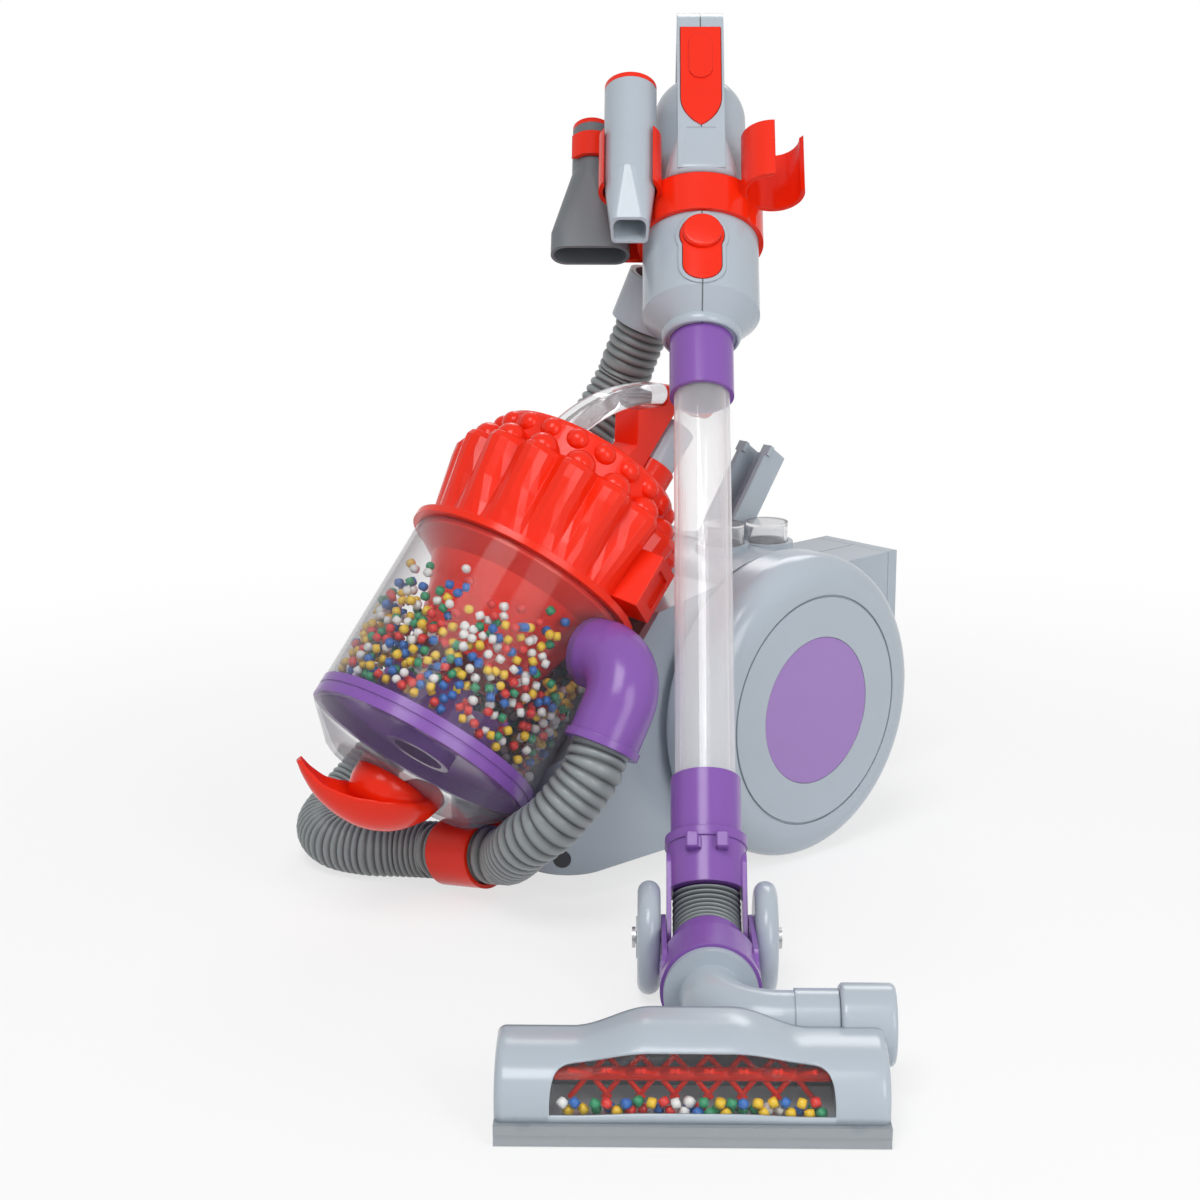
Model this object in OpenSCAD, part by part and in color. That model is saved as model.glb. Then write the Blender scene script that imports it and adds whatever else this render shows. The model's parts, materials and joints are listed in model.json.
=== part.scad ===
// Toy vacuum cleaner: canister with a bead bin, ribbed hose, leaning wand and floor head.
// Millimetres, +Z up, -Y towards the canister's nose, floor at Z = 0.

/* [Wheels] */
// Radius of the large wheels
wheel_r = 85; // [80:1:90]
// Width of each large wheel
wheel_w = 34; // [30:1:36]
// Distance between the outer faces of the large wheels
track = 184; // [178:1:196]
// Radius of the round groove in each wheel face
groove_r = 63; // [50:1:66]
// Radius of the hub disc in each wheel face
hub_r = 41; // [30:1:46]
// Radius of the axle rod
axle_r = 4; // [3:0.5:5]

/* [Canister] */
// Wall of the moulded shells
wall = 2.5; // [2:0.1:3]
// Height of the underside above the floor
base_z = 14; // [12:1:16]
// Length of the nose ahead of the axle
nose_len = 152; // [148:1:154]
// Radius of the nose's corners in plan
nose_corner = 24; // [16:1:30]
// Half width of the spine and the rear housing
spine_half = 28; // [26:1:30]
// Length behind the axle to the drawer's front panel
rear_len = 142; // [134:1:156]
// Thickness of the drawer's front panel
panel_t = 8; // [5:1:10]
// Radius of a push button
button_r = 12; // [10:0.5:13]
// Travel of a push button
button_travel = 2.5; // [1:0.5:4]
// Length of the wand cradle's post
cradle_len = 66; // [50:1:76]

/* [Bin] */
// Radius of the clear bin
bin_r = 62; // [58:1:64]
// Length of the clear bin wall
bin_len = 97; // [90:1:100]
// Wall of the clear bin
bin_wall = 2; // [1.5:0.1:2.5]
// Lean of the bin from the vertical, in degrees
bin_lean = 41.6; // [40:0.2:43]
// Height of the bin's floor ring
ring_h = 11; // [8:0.5:14]
// Height of the tapered clear base
base_drop = 19; // [14:1:20]
// Radius of the crown at the crests of its flutes
crown_r = 67; // [64:0.5:68]
// Height of the crown's knuckles above the bin wall
crown_h = 55; // [50:1:56]
// Radius of the smooth tier above the knuckles
tier_r = 52; // [46:1:52]
// Height of the tier above the knuckles
tier_h = 20; // [16:1:22]
// Number of flutes round the crown
flutes = 16; // [12:2:20]
// Depth of a flute
flute_depth = 8; // [4:0.5:9]
// Reach of the spinner's paddles
paddle_r = 47; // [40:1:48]
// Outer radius of the inlet elbow
elbow_r = 18.5; // [17.5:0.5:19]

/* [Hose] */
// Outer radius of the hose
hose_r = 15.5; // [13:0.5:16]
// Depth of the hose's ribs
rib_depth = 2; // [1:0.25:2.5]
// Radius of the hose's bore
hose_bore = 11.5; // [9:0.5:12]
// Number of ribs along the hose
hose_ribs = 130; // [60:1:200]

/* [Wand] */
// Radius of the clear tube
tube_r = 15; // [13:0.5:15.5]
// Wall of the clear tube
tube_wall = 2; // [1.5:0.1:2.5]
// Length of the wand from its hinge to the handle's nose
nose_s = 338; // [320:1:350]
// Lean of the wand from the vertical, in degrees
wand_lean = 40.5; // [38:0.5:40.5]
// Radius of the handle's barrel
barrel_r = 32; // [30:0.5:33]
// Radius of the handle's dome
dome_r = 26; // [24:0.5:27]
// Width of the grip
grip_w = 26; // [22:1:28]
// Thickness of the grip's bars
grip_t = 17; // [14:1:19]
// Height of the tool band
band_h = 24; // [18:1:26]
// Radius of the crevice tool's tube
tool_r = 14.5; // [12:0.5:15]
// Travel of the trigger and of the release button
trigger_travel = 2.5; // [1:0.5:3]

/* [Floor head] */
// Width of the floor head
head_w = 165; // [150:1:190]
// Radius of the head's rounded front
front_r = 36; // [32:1:36]
// Thickness of the sole
sole_t = 9; // [7:0.5:10]
// Width of the end blocks beside the window
end_w = 24.5; // [20:0.5:30]
// Radius of the neck wheels
neck_wheel_r = 27; // [25:0.5:29]
// Radius of the neck's hinge pins
pin_r = 3; // [2.5:0.25:3.5]
// Reach of the brush bar's fins from its axis
fin_r = 12; // [9:0.5:12.5]
// Number of V-shaped fin pairs on the brush bar
fin_pairs = 7; // [4:1:9]

/* [Hidden] */
$fn = 48;

// Running clearance of a pin in its hole, clearance of a moving piece and of a seated one
run = 0.05;
slip = 0.3;
seat = 0.2;
// A cut runs this far past the face it opens
past = 1;

// Middle of the footprint, measured from the middle of the axle
centre_x = 117.1;
centre_y = -108.5;

grey = "LightSteelBlue";
red = "OrangeRed";
purple = "MediumPurple";
clear = [0.85, 0.88, 0.92, 0.4];
steel = "Silver";
dark = "DimGray";

// Canister
axle_z = wheel_r;
wheel_in = track / 2 - wheel_w;
body_half = wheel_in - 4;
drum_r = wheel_r - 4;
shoulder = 16;
disc_t = 2.2;
saddle_lap = 14;
nose_top = base_z + 30;
housing_top = 143;
housing_base = 50;
spine_top = axle_z + drum_r + 1;
bulkhead_x = 27;
motor_y = -40;
motor_z = 110;
motor_r = 18;
fan_r = 30;
shaft_r = 1.5;
cell_r = 7.25;
cell_len = 50.5;
cell_pitch = 15;
cell_first = -88;
door_t = 1.2;
roller_r = 9;
roller_y = -118;
roller_half = 15;
ear_t = 2.5;
button_x = 24;
button_spots = [31, -5];
collar_tops = [165, 169];
boss_base = 150;
screw_spots = [[-134, 32], [-8, 30], [48, 118]];
screw_r = 1.5;
tray_half = spine_half - wall - slip;
tray_h = 42;
tray_front = 64;

// Bin, with its axis in the middle plane
bin_y = -198.5;
bin_z = 91.3;
rim_r = bin_r + 3.5;
rim_h = 5;
crown_top = bin_len + crown_h + tier_h;
base_r = bin_r - 1;
foot_r = base_r - base_drop;
latch_turn = 20;
latch_r = 72;
handle_arc = [-49.5, 152];
handle_arc_r = 102.5;
handle_join = 82;
strap_w = 20;
strap_t = 11;
outlet_w = 40;
outlet_r = 13.5;
outlet_s = crown_top + 26;
outlet_end = crown_top + 52;
elbow_corner = [90, -136, 136];
elbow_tilt = -32.3;
elbow_bend = 24;
elbow_leg = 46;
hose_socket = 14;

// Hose: points of its route, from the elbow over the clip and round the bin to the cuff
hose_way = [[80, -183, 62], [64, -187, 48], [47, -181, 36], [31, -173, 27.5], [22, -174, 26], [-14, -178, 20],
    [-23, -179, 18.5], [-38, -186, 17],
    [-55, -197, 16], [-77, -203, 16], [-97, -195, 18], [-107, -175, 25], [-106, -152, 42], [-102, -130, 66],
    [-96, -112, 96], [-89, -94, 130], [-81, -71, 165], [-72, -46, 196], [-63, -24, 224]];
clip_a = hose_way[4];
clip_b = hose_way[5];
route_steps = 8;

// Wand and neck
head_x = 293;
head_y = -300;
head_yaw = 45.7;
neck_x = 10;
neck_y = 165;
neck_z = neck_wheel_r;
elbow_z = 30 - neck_z;
band_s = 400;
barrel_end = band_s + band_h;
dome_s = 484;
grip_top = 546;
grip_front = -36;
grip_back = 78;
clip_top = 450;
crevice_at = [-39, -29.5];
crevice_s = 378;
brush_at = [-61, 7];
brush_r = 11;
cuff_at = [-16, 18, 405];
cuff_turn = [-0.356, -0.157, -0.921];
cuff_len = 42;
trigger_bottom = 474;
trigger_top = 523;
trigger_half = 11.3;
button_low = 366;
button_high = 385;
button_half = 10.5;
collar_r = tube_r + 2.3;
bellows_reach = 22;
bellows_r = tube_r + 1.5;
bellows_ribs = 11;
arm_in = bellows_r + 0.5;
arm_t = 2.3;
yoke_in = arm_in + arm_t + slip;
neck_wheel_in = yoke_in + arm_t + slip;
neck_wheel_w = 11.5;

// Floor head
head_back = front_r + 3;
head_rear = head_back + 2.5;
pipe_y = 58;
pipe_bend = 30;
pipe_r = 14.5;
socket_x = 64.3;
socket_len = 24;
socket_r = 18;
spigot_r = 13;
bar_at = [24, 22];
bar_r = 3;
chamber_half = head_w / 2 - end_w;
bead_r = 2.3;

module floor_frame() translate([-centre_x, -centre_y, 0]) children();
module bin_frame() floor_frame() translate([0, bin_y, bin_z]) rotate([-bin_lean, 0, 0]) children();
module head_frame() floor_frame() translate([head_x, head_y, 0]) rotate([0, 0, head_yaw]) children();
module neck_frame() head_frame() translate([neck_x, neck_y, neck_z]) children();
module wand_frame() neck_frame() rotate([-wand_lean, 0, 0]) children();

// Extrudes a (Y, Z) outline along X, about the middle plane
module along_x(half) rotate([90, 0, 90]) linear_extrude(2 * half, center = true) children();
// A round bar along X from x0 to x1
module bar_x(x0, x1, r) translate([x0, 0, 0]) rotate([0, 90, 0]) cylinder(r = r, h = x1 - x0);
// A round bar along Y from y0 to y1
module bar_y(y0, y1, r) translate([0, y0, 0]) rotate([-90, 0, 0]) cylinder(r = r, h = y1 - y0);
// A tube along Z
module pipe(r, bore, z0, z1) translate([0, 0, z0]) difference() {
    cylinder(r = r, h = z1 - z0);
    translate([0, 0, -past]) cylinder(r = bore, h = z1 - z0 + 2 * past);
}
// Turns Z onto a direction
module facing(d) rotate([0, acos(d[2] / norm(d)), atan2(d[1], d[0])]) children();

// Point beside the bin's axis in the middle plane: t along the axis, d behind it
function saddle(t, d) = [bin_y + sin(bin_lean) * t + cos(bin_lean) * d,
    bin_z + cos(bin_lean) * t - sin(bin_lean) * d];

// Canister

module plan_outline(inset) {
    half = body_half - inset;
    corner = nose_corner - inset;
    front = inset - nose_len;
    translate([-half, front + corner]) square([2 * half, nose_len + rear_len]);
    translate([corner - half, front]) square([2 * (half - corner), corner + past]);
    for (side = [-1, 1]) translate([side * (half - corner), front + corner]) circle(corner);
}

module wedge_outline() {
    d = bin_r - saddle_lap;
    polygon([[-nose_len - 4, base_z], [-nose_len - 4, nose_top], saddle(12, d), saddle(118, d),
        [-40, axle_z + drum_r * 0.87], [0, axle_z + drum_r - past], [30, base_z]]);
}

module wedge_hollow() {
    d = bin_r + 2 * seat + wall;
    polygon([[-nose_len, base_z], [-nose_len, nose_top - 2 * wall], saddle(2, d), saddle(bin_len - 9, d),
        saddle(bin_len - 3, crown_r + 2 + wall), saddle(bin_len + 30, crown_r + 2 + wall),
        [-30, axle_z + drum_r * 0.87 - wall], [0, axle_z], [0, base_z]]);
}

module housing_outline(inset) {
    rear = rear_len - panel_t + (inset > 0 ? past : 0);
    polygon([[0, axle_z], [0, spine_top - inset], [38, spine_top - 6 - inset], [98, housing_top - inset],
        [rear, housing_top - inset], [rear, housing_base + inset], [50, housing_base - 12 + 5.8 * inset]]);
}

module body_block(inset) {
    intersection() {
        union() {
            translate([0, 0, axle_z]) rotate([0, 90, 0])
                cylinder(r = drum_r - inset, h = 2 * (body_half - inset), center = true, $fn = 96);
            along_x(body_half - inset) {
                if (inset > 0) wedge_hollow();
                else wedge_outline();
            }
        }
        translate([0, 0, base_z + inset]) linear_extrude(3 * wheel_r) plan_outline(inset);
    }
    along_x(spine_half - inset) housing_outline(inset);
}

// Space kept free for the bin and its crown
module bin_room() translate([0, bin_y, bin_z]) rotate([-bin_lean, 0, 0]) {
    translate([0, 0, -70]) cylinder(r = bin_r + 2 * seat, h = bin_len + 69);
    translate([0, 0, bin_len - 1.5]) cylinder(r = crown_r + 1.6, h = 90);
}

module cradle_frame() translate([0, 14, axle_z + drum_r - 8]) rotate([-36, 0, 0]) children();

module wand_cradle() color(grey) floor_frame() cradle_frame() {
    difference() {
        translate([-11, -8, 0]) cube([22, 16, cradle_len]);
        translate([-8, -8 - past, 12]) cube([16, 13 + past, cradle_len]);
        translate([0, 10, cradle_len - 14]) rotate([90, 0, 0]) cylinder(r = 2, h = 20);
    }
    for (side = [-1, 1]) translate([side * 9.5 - 3, -8, cradle_len - 6]) cube([6, 3, 6]);
}

module roller_ears() for (side = [-1, 1])
    translate([side * (roller_half + slip + ear_t / 2), roller_y, 0]) rotate([90, 0, 90])
        linear_extrude(ear_t, center = true) {
            translate([0, roller_r]) circle(5);
            translate([-5, roller_r]) square([10, base_z + wall - roller_r]);
        }

module canister_halves() {
    difference() {
        union() {
            difference() {
                union() {
                    body_block(0);
                    for (i = [0, 1]) translate([button_x, button_spots[i], boss_base])
                        cylinder(r = button_r + 3, h = collar_tops[i] - boss_base);
                }
                difference() {
                    body_block(wall);
                    for (i = [0, 1]) translate([button_x, button_spots[i], boss_base])
                        cylinder(r = button_r + 3, h = collar_tops[i] - boss_base);
                    for (side = [-1, 1]) translate([side * (bulkhead_x + wall / 2), -40, 80])
                        cube([wall, 130, 120], center = true);
                    for (p = screw_spots) translate([0, p[0], p[1]]) bar_x(-body_half, body_half, 4.5);
                }
            }
            roller_ears();
        }
        bin_room();
        cradle_frame() translate([-11 - seat, -8 - seat, -past]) cube([22 + 2 * seat, 16 + 2 * seat, cradle_len]);
        translate([0, 0, axle_z]) bar_x(-body_half - past, body_half + past, axle_r + run);
        translate([0, motor_y, motor_z]) bar_x(-bulkhead_x - 9, bulkhead_x + 9, motor_r + seat);
        for (i = [0, 1]) translate([button_x, button_spots[i], boss_base - past])
            cylinder(r = button_r + slip, h = 40);
        for (p = screw_spots) translate([0, p[0], p[1]]) {
            bar_x(-body_half, 20, screw_r + run);
            bar_x(-body_half - past, -20, 3.2);
        }
        translate([0, roller_y, roller_r]) {
            bar_x(-roller_half - slip - 0.1, roller_half + slip + 0.1, roller_r + 1.2);
            bar_x(-roller_half - 2 * ear_t, roller_half + 2 * ear_t, 2 + run);
        }
        translate([0, cell_first + 1.5 * cell_pitch, base_z]) {
            cube([54, 4 * cell_pitch + 2, 3 * wall], center = true);
            cube([60 + 2 * seat, 4 * cell_pitch + 8 + 2 * seat, 2 * door_t], center = true);
        }
        translate([-tray_half - slip, tray_front - slip, housing_base + wall])
            cube([2 * (tray_half + slip), rear_len, tray_h + slip]);
    }
}

module shell_left() color(grey) floor_frame() intersection() {
    canister_halves();
    translate([0, -300, 0]) cube([200, 600, 300]);
}

module shell_right() color(grey) floor_frame() intersection() {
    canister_halves();
    translate([-200, -300, 0]) cube([200, 600, 300]);
}

module shell_screws() color(steel) floor_frame() for (p = screw_spots) translate([0, p[0], p[1]]) {
    bar_x(-20.5, 16, screw_r);
    bar_x(-23, -20, 3);
}

module axle() color(steel) floor_frame() translate([0, 0, axle_z])
    bar_x(slip + disc_t - track / 2, track / 2 - disc_t - slip, axle_r);

module wheel_profile() difference() {
    union() {
        square([wheel_r - shoulder, wheel_w]);
        square([wheel_r - 5, wheel_w - shoulder]);
        translate([0, 5]) square([wheel_r, wheel_w - shoulder - 5]);
        translate([wheel_r - 5, 5]) circle(5);
        translate([wheel_r - shoulder, wheel_w - shoulder]) circle(shoulder);
    }
    translate([-past, -past]) square([axle_r + run + past, wheel_w + 2 * past]);
    translate([11, -past]) square([wheel_r - 22, wheel_w - 5 + past]);
    translate([0, wheel_w - disc_t]) square([hub_r, disc_t + past]);
    translate([groove_r, wheel_w - 1.5]) square([1.2, 2]);
}

module on_wheel(side) floor_frame() translate([side * wheel_in, 0, axle_z]) rotate([0, side * 90, 0]) children();
module wheel(side) color(grey) on_wheel(side) rotate_extrude($fn = 96) wheel_profile();
module hub_disc(side) color(purple) on_wheel(side) translate([0, 0, wheel_w - disc_t])
    cylinder(r = hub_r - seat, h = disc_t - seat, $fn = 72);
module wheel_left() wheel(1);
module wheel_right() wheel(-1);
module hub_disc_left() hub_disc(1);
module hub_disc_right() hub_disc(-1);

module nose_roller() color(dark) floor_frame() translate([0, roller_y, roller_r]) {
    bar_x(-roller_half, roller_half, roller_r);
    bar_x(-roller_half - ear_t, roller_half + ear_t, 2);
}

module motor() color(steel) floor_frame() translate([0, motor_y, motor_z]) {
    bar_x(-bulkhead_x - 2, bulkhead_x + 2, motor_r);
    bar_x(bulkhead_x, bulkhead_x + 18, shaft_r);
}

module impeller() color(dark) floor_frame() translate([bulkhead_x + 5, motor_y, motor_z]) rotate([0, 90, 0])
    difference() {
        union() {
            cylinder(r = fan_r, h = 2);
            cylinder(r = 6, h = 11);
            for (k = [0 : 7]) rotate(45 * k) translate([4, -1, 1]) cube([fan_r - 6, 2, 9]);
        }
        translate([0, 0, -past]) cylinder(r = shaft_r + run, h = 20);
    }

module batteries() color(steel) floor_frame() for (k = [0 : 3])
    translate([0, cell_first + cell_pitch * k, base_z + door_t + cell_r + seat])
        bar_x(-cell_len / 2, cell_len / 2, cell_r);

module battery_door() color(grey) floor_frame()
    translate([0, cell_first + 1.5 * cell_pitch, base_z + door_t / 2])
        cube([60, 4 * cell_pitch + 8, door_t], center = true);

module drawer() color(grey) floor_frame() {
    translate([-spine_half, rear_len - panel_t + slip, housing_base])
        cube([2 * spine_half, panel_t - slip, housing_top - housing_base]);
    difference() {
        translate([-tray_half, tray_front, housing_base + wall + slip])
            cube([2 * tray_half, rear_len - panel_t / 2 - tray_front, tray_h - slip]);
        translate([2 - tray_half, tray_front + 2, housing_base + wall + slip + 2])
            cube([2 * tray_half - 4, rear_len - panel_t - tray_front - 4, tray_h]);
        translate([-15, rear_len - panel_t / 2, 0]) cube([30, 20, 20]);
    }
}

module push_cap(i) color(clear) floor_frame() translate([button_x, button_spots[i], 0]) difference() {
    union() {
        translate([0, 0, boss_base - 2]) cylinder(r = button_r, h = collar_tops[i] + 11 - boss_base + 2);
        translate([0, 0, boss_base - 2 - slip]) cylinder(r = button_r + 1.6, h = 2);
    }
    translate([0, 0, boss_base - 4]) cylinder(r = button_r - 1.6, h = collar_tops[i] + 13 - boss_base);
}
module power_button() push_cap(0);
module light_button() push_cap(1);

module hose_clip() {
    mid = (clip_a + clip_b) / 2;
    color(red) floor_frame() difference() {
        union() {
            translate(clip_a) facing(clip_b - clip_a) translate([0, 0, 4])
                cylinder(r = hose_r + 2.5, h = norm(clip_b - clip_a) - 8);
            translate([mid[0] - 16, -nose_len - 16, base_z - 5]) cube([30, 16, 26]);
        }
        translate(clip_a) facing(clip_b - clip_a) translate([0, 0, -60]) cylinder(r = hose_r + slip, h = 160);
        linear_extrude(60) plan_outline(0);
        translate([0, bin_y, bin_z]) rotate([-bin_lean, 0, 0]) base_room();
    }
}

// Bin

module elbow_frame() floor_frame() translate(elbow_corner) rotate([elbow_tilt, 0, 0]) children();
module elbow_path(r) {
    translate([-elbow_bend, 0, -elbow_bend]) rotate([90, 0, 0]) rotate_extrude(angle = 90)
        translate([elbow_bend, 0]) circle(r);
    bar_x(-32.5, -elbow_bend, r);
    translate([0, 0, -elbow_leg]) cylinder(r = r, h = elbow_leg - elbow_bend);
}

module bin_cylinder() color(clear) difference() {
    bin_frame() pipe(bin_r, bin_r - bin_wall, 0, bin_len, $fn = 96);
    elbow_frame() bar_x(-60, -20, elbow_r + seat);
}

module bin_ring() color(purple) bin_frame() rotate_extrude($fn = 96) difference() {
    translate([0, -ring_h]) square([bin_r + 0.5, ring_h]);
    translate([18, -ring_h - past]) square([bin_r - 22, ring_h - 3 + past]);
    translate([-past, -ring_h - past]) square([14 + past, ring_h - 3 + past]);
    translate([-past, -4]) square([3 + run + past, 5]);
    translate([bin_r, -6]) square([2, 1.2]);
}

module base_section(r, foot, drop) polygon([[0, past], [r, past], [r, -2], [foot + 3, 1.5 - drop], [foot, -drop], [0, -drop]]);

module bin_base() color(clear) bin_frame() translate([0, 0, -ring_h]) rotate_extrude($fn = 96) difference() {
    intersection() {
        base_section(base_r, foot_r, base_drop);
        translate([0, -base_drop]) square([bin_r, base_drop]);
    }
    base_section(base_r - bin_wall, foot_r - bin_wall, base_drop - bin_wall);
}

// Space kept free round the base
module base_room() translate([0, 0, -ring_h]) rotate_extrude($fn = 96)
    base_section(bin_r + 1.5, foot_r + 1.5, base_drop + 0.5);

module spinner() color(purple) bin_frame() {
    rotate_extrude() polygon([[0, slip], [24, slip], [20, 10], [9, 32], [0, 38]]);
    for (k = [0 : 3]) rotate(90 * k) translate([6, -1.5, slip]) cube([paddle_r - 6, 3, 20]);
    translate([0, 0, -7]) cylinder(r = 3, h = 9);
    translate([0, 0, -7]) cylinder(r = 6, h = 4 - slip);
}

// Beads flung against the wall, none of them in the way of the inlet
module bin_beads() color("Gold") bin_frame() for (k = [0 : 47])
    let (a = (k * 137.5) % 360, s = 5 + 1.25 * k) if (s < 50 || (a > 45 && a < 350))
        rotate(a) translate([bin_r - bin_wall - bead_r - slip, 0, s]) sphere(bead_r, $fn = 24);

module cyclone_cone() color(red) bin_frame() rotate_extrude($fn = 72) difference() {
    polygon([[34, 40], [36, 55], [41, 72], [48, 86], [bin_r - bin_wall - seat, bin_len - 3],
        [bin_r - bin_wall - seat, bin_len], [30, bin_len], [30, 40]]);
    polygon([[0, 39], [32, 39], [34, 56], [39, 73], [45, 86], [52, bin_len - 3], [52, bin_len + past], [0, bin_len + past]]);
}

// The crown is lofted: each ring has a height, a radius at its crests and a share of the flute depth
crown_rings = [[rim_h - 2, crown_r - 9, 0.15], [14, crown_r - 7, 0.4], [28, crown_r - 4, 0.75],
    [42, crown_r - 1, 1], [49, crown_r, 1], [52.5, crown_r - 1.5, 0.95], [54.5, crown_r - 5, 0.8],
    [crown_h, crown_r - 9, 0.5], [crown_h - 1, tier_r + 1.5, 0.2], [crown_h - 2, tier_r, 0],
    [crown_h + tier_h - 3, tier_r, 0], [crown_h + tier_h - 0.9, tier_r - 0.9, 0], [crown_h + tier_h, tier_r - 3, 0]];
crown_sides = flutes * 6;
function flute(a) = 1 - abs(cos(a * flutes / 2));
crown_points = [for (ring = crown_rings) for (k = [0 : crown_sides - 1])
    let (a = 360 * k / crown_sides, r = ring[1] - flute_depth * ring[2] * flute(a))
        [r * cos(a), r * sin(a), ring[0]]];
crown_faces = concat(
    [[for (k = [0 : crown_sides - 1]) k]],
    [for (i = [0 : len(crown_rings) - 2]) for (k = [0 : crown_sides - 1])
        let (a = i * crown_sides + k, b = i * crown_sides + (k + 1) % crown_sides)
            each [[a, a + crown_sides, b], [b, a + crown_sides, b + crown_sides]]],
    [[for (k = [0 : crown_sides - 1]) len(crown_points) - 1 - k]]);

module latch_block(grow) rotate(latch_turn) translate([crown_r - 11 - grow, -11 - grow, rim_h + 3 - grow])
    cube([latch_r - crown_r + 11 + grow, 22 + 2 * grow, 30 + 2 * grow]);

module cyclone_crown() color(red) bin_frame() translate([0, 0, bin_len]) difference() {
    union() {
        cylinder(r = rim_r, h = rim_h - 1, $fn = 96);
        polyhedron(crown_points, crown_faces, convexity = 6);
    }
    latch_block(seat);
}

module bin_latch() color(red) bin_frame() translate([0, 0, bin_len]) difference() {
    latch_block(0);
    rotate(latch_turn) translate([latch_r - 2, -7, rim_h + 9]) cube([4, 14, 18]);
}

module strap(from, to) floor_frame() translate([0, handle_arc[0], handle_arc[1]]) rotate([90, 0, 90])
    rotate(from) rotate_extrude(angle = to - from, $fn = 96) translate([handle_arc_r, 0]) {
        square([strap_t, strap_w - strap_t], center = true);
        for (side = [-1, 1]) translate([0, side * (strap_w - strap_t) / 2]) circle(strap_t / 2);
    }

// Everything below the crown's top, with its clearance
module crown_room() bin_frame() translate([0, 0, bin_len]) cylinder(r = crown_r + 20, h = crown_h + tier_h + seat);

module bin_handle() color(clear) difference() {
    strap(handle_join, 132);
    crown_room();
}

module handle_back() color(red) difference() {
    union() {
        strap(60, handle_join - 0.2);
        floor_frame() along_x(9) polygon([[-56, 247.5], [-57, 228], [-69, 220], [-82, 218], [-62, 197], [-50, 213],
            [-52, 216], [-32, 238.5], [-24, 247], [-24, 252], [-34, 252], [-34.5, 247.5]]);
        bin_frame() translate([0, outlet_w, crown_top]) cylinder(r = outlet_r, h = outlet_s - crown_top);
    }
    crown_room();
    bin_frame() translate([0, outlet_w, outlet_s - 8]) cylinder(r = outlet_r - 1.3, h = outlet_end - outlet_s + 9);
}

module outlet_cuff() color(grey) bin_frame() translate([0, outlet_w, 0])
    pipe(outlet_r - 1.3 - seat, outlet_r - 4, outlet_s - 8 + seat, outlet_end);

module scoop() color(red) bin_frame() {
    foot = -ring_h - base_drop;
    hull() {
        translate([0, 4, foot - 16]) cylinder(r = 20, h = 16 - seat);
        translate([0, -34, foot - 12]) cylinder(r = 15, h = 8);
    }
    translate([0, -46, foot + 4]) rotate([0, 90, 0]) rotate(0) difference() {
        cylinder(r = 17, h = 30, center = true);
        cylinder(r = 12, h = 32, center = true);
        translate([-30, -20, -20]) cube([30, 60, 40]);
        translate([-30, 4, -20]) cube([60, 40, 40]);
    }
}

module inlet_elbow() color(purple) elbow_frame() difference() {
    union() {
        elbow_path(elbow_r);
        translate([0, 0, -elbow_leg]) cylinder(r = elbow_r + 1.3, h = 4);
    }
    elbow_path(elbow_r - 4);
    bar_x(-40, -elbow_bend, elbow_r - 4);
    translate([0, 0, -elbow_leg - past]) cylinder(r = hose_r + seat, h = hose_socket + past);
}

// Hose: a smooth curve through the route's points, sampled evenly by length

function unit(v) = v / norm(v);
function last(v) = v[len(v) - 1];
function elbow_point(l) = elbow_corner + l * [0, sin(elbow_tilt), -cos(elbow_tilt)];
function cuff_point(l) = wand_point(cuff_at) + l * unit(cuff_turn);
hose_in = elbow_leg - hose_socket;
hose_out = cuff_len - hose_socket;
hose_route = concat([for (l = [0, hose_r, 2 * hose_r]) elbow_point(hose_in + l)], hose_way,
    [for (l = [3.3, 2.3, 1.3, 0]) cuff_point(hose_out + l * hose_r)]);
function mid_curve(a, b, c, d, t) = 0.5 * (2 * b + (c - a) * t + (2 * a - 5 * b + 4 * c - d) * t * t
    + (3 * b - a - 3 * c + d) * t * t * t);
route_fine = [for (i = [0 : len(hose_route) - 2]) for (k = [0 : route_steps - 1])
    let (b = hose_route[i], c = hose_route[i + 1],
        a = i > 0 ? hose_route[i - 1] : 2 * b - c,
        d = i < len(hose_route) - 2 ? hose_route[i + 2] : 2 * c - b)
        mid_curve(a, b, c, d, k / route_steps)];
route_all = concat(route_fine, [last(hose_route)]);
function run_lengths(v, i = 1, sum = 0) = i > len(v) - 1 ? [sum]
    : concat([sum], run_lengths(v, i + 1, sum + norm(v[i] - v[i - 1])));
route_len = run_lengths(route_all);
hose_len = last(route_len);
function route_axis(j) = [for (i = [0 : len(route_all) - 1]) [route_len[i], route_all[i][j]]];
route_axes = [route_axis(0), route_axis(1), route_axis(2)];
function route_at(l) = [for (j = [0 : 2]) lookup(l, route_axes[j])];
function route_dir(l) = unit(route_at(min(l + 2, hose_len)) - route_at(max(l - 2, 0)));
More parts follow.
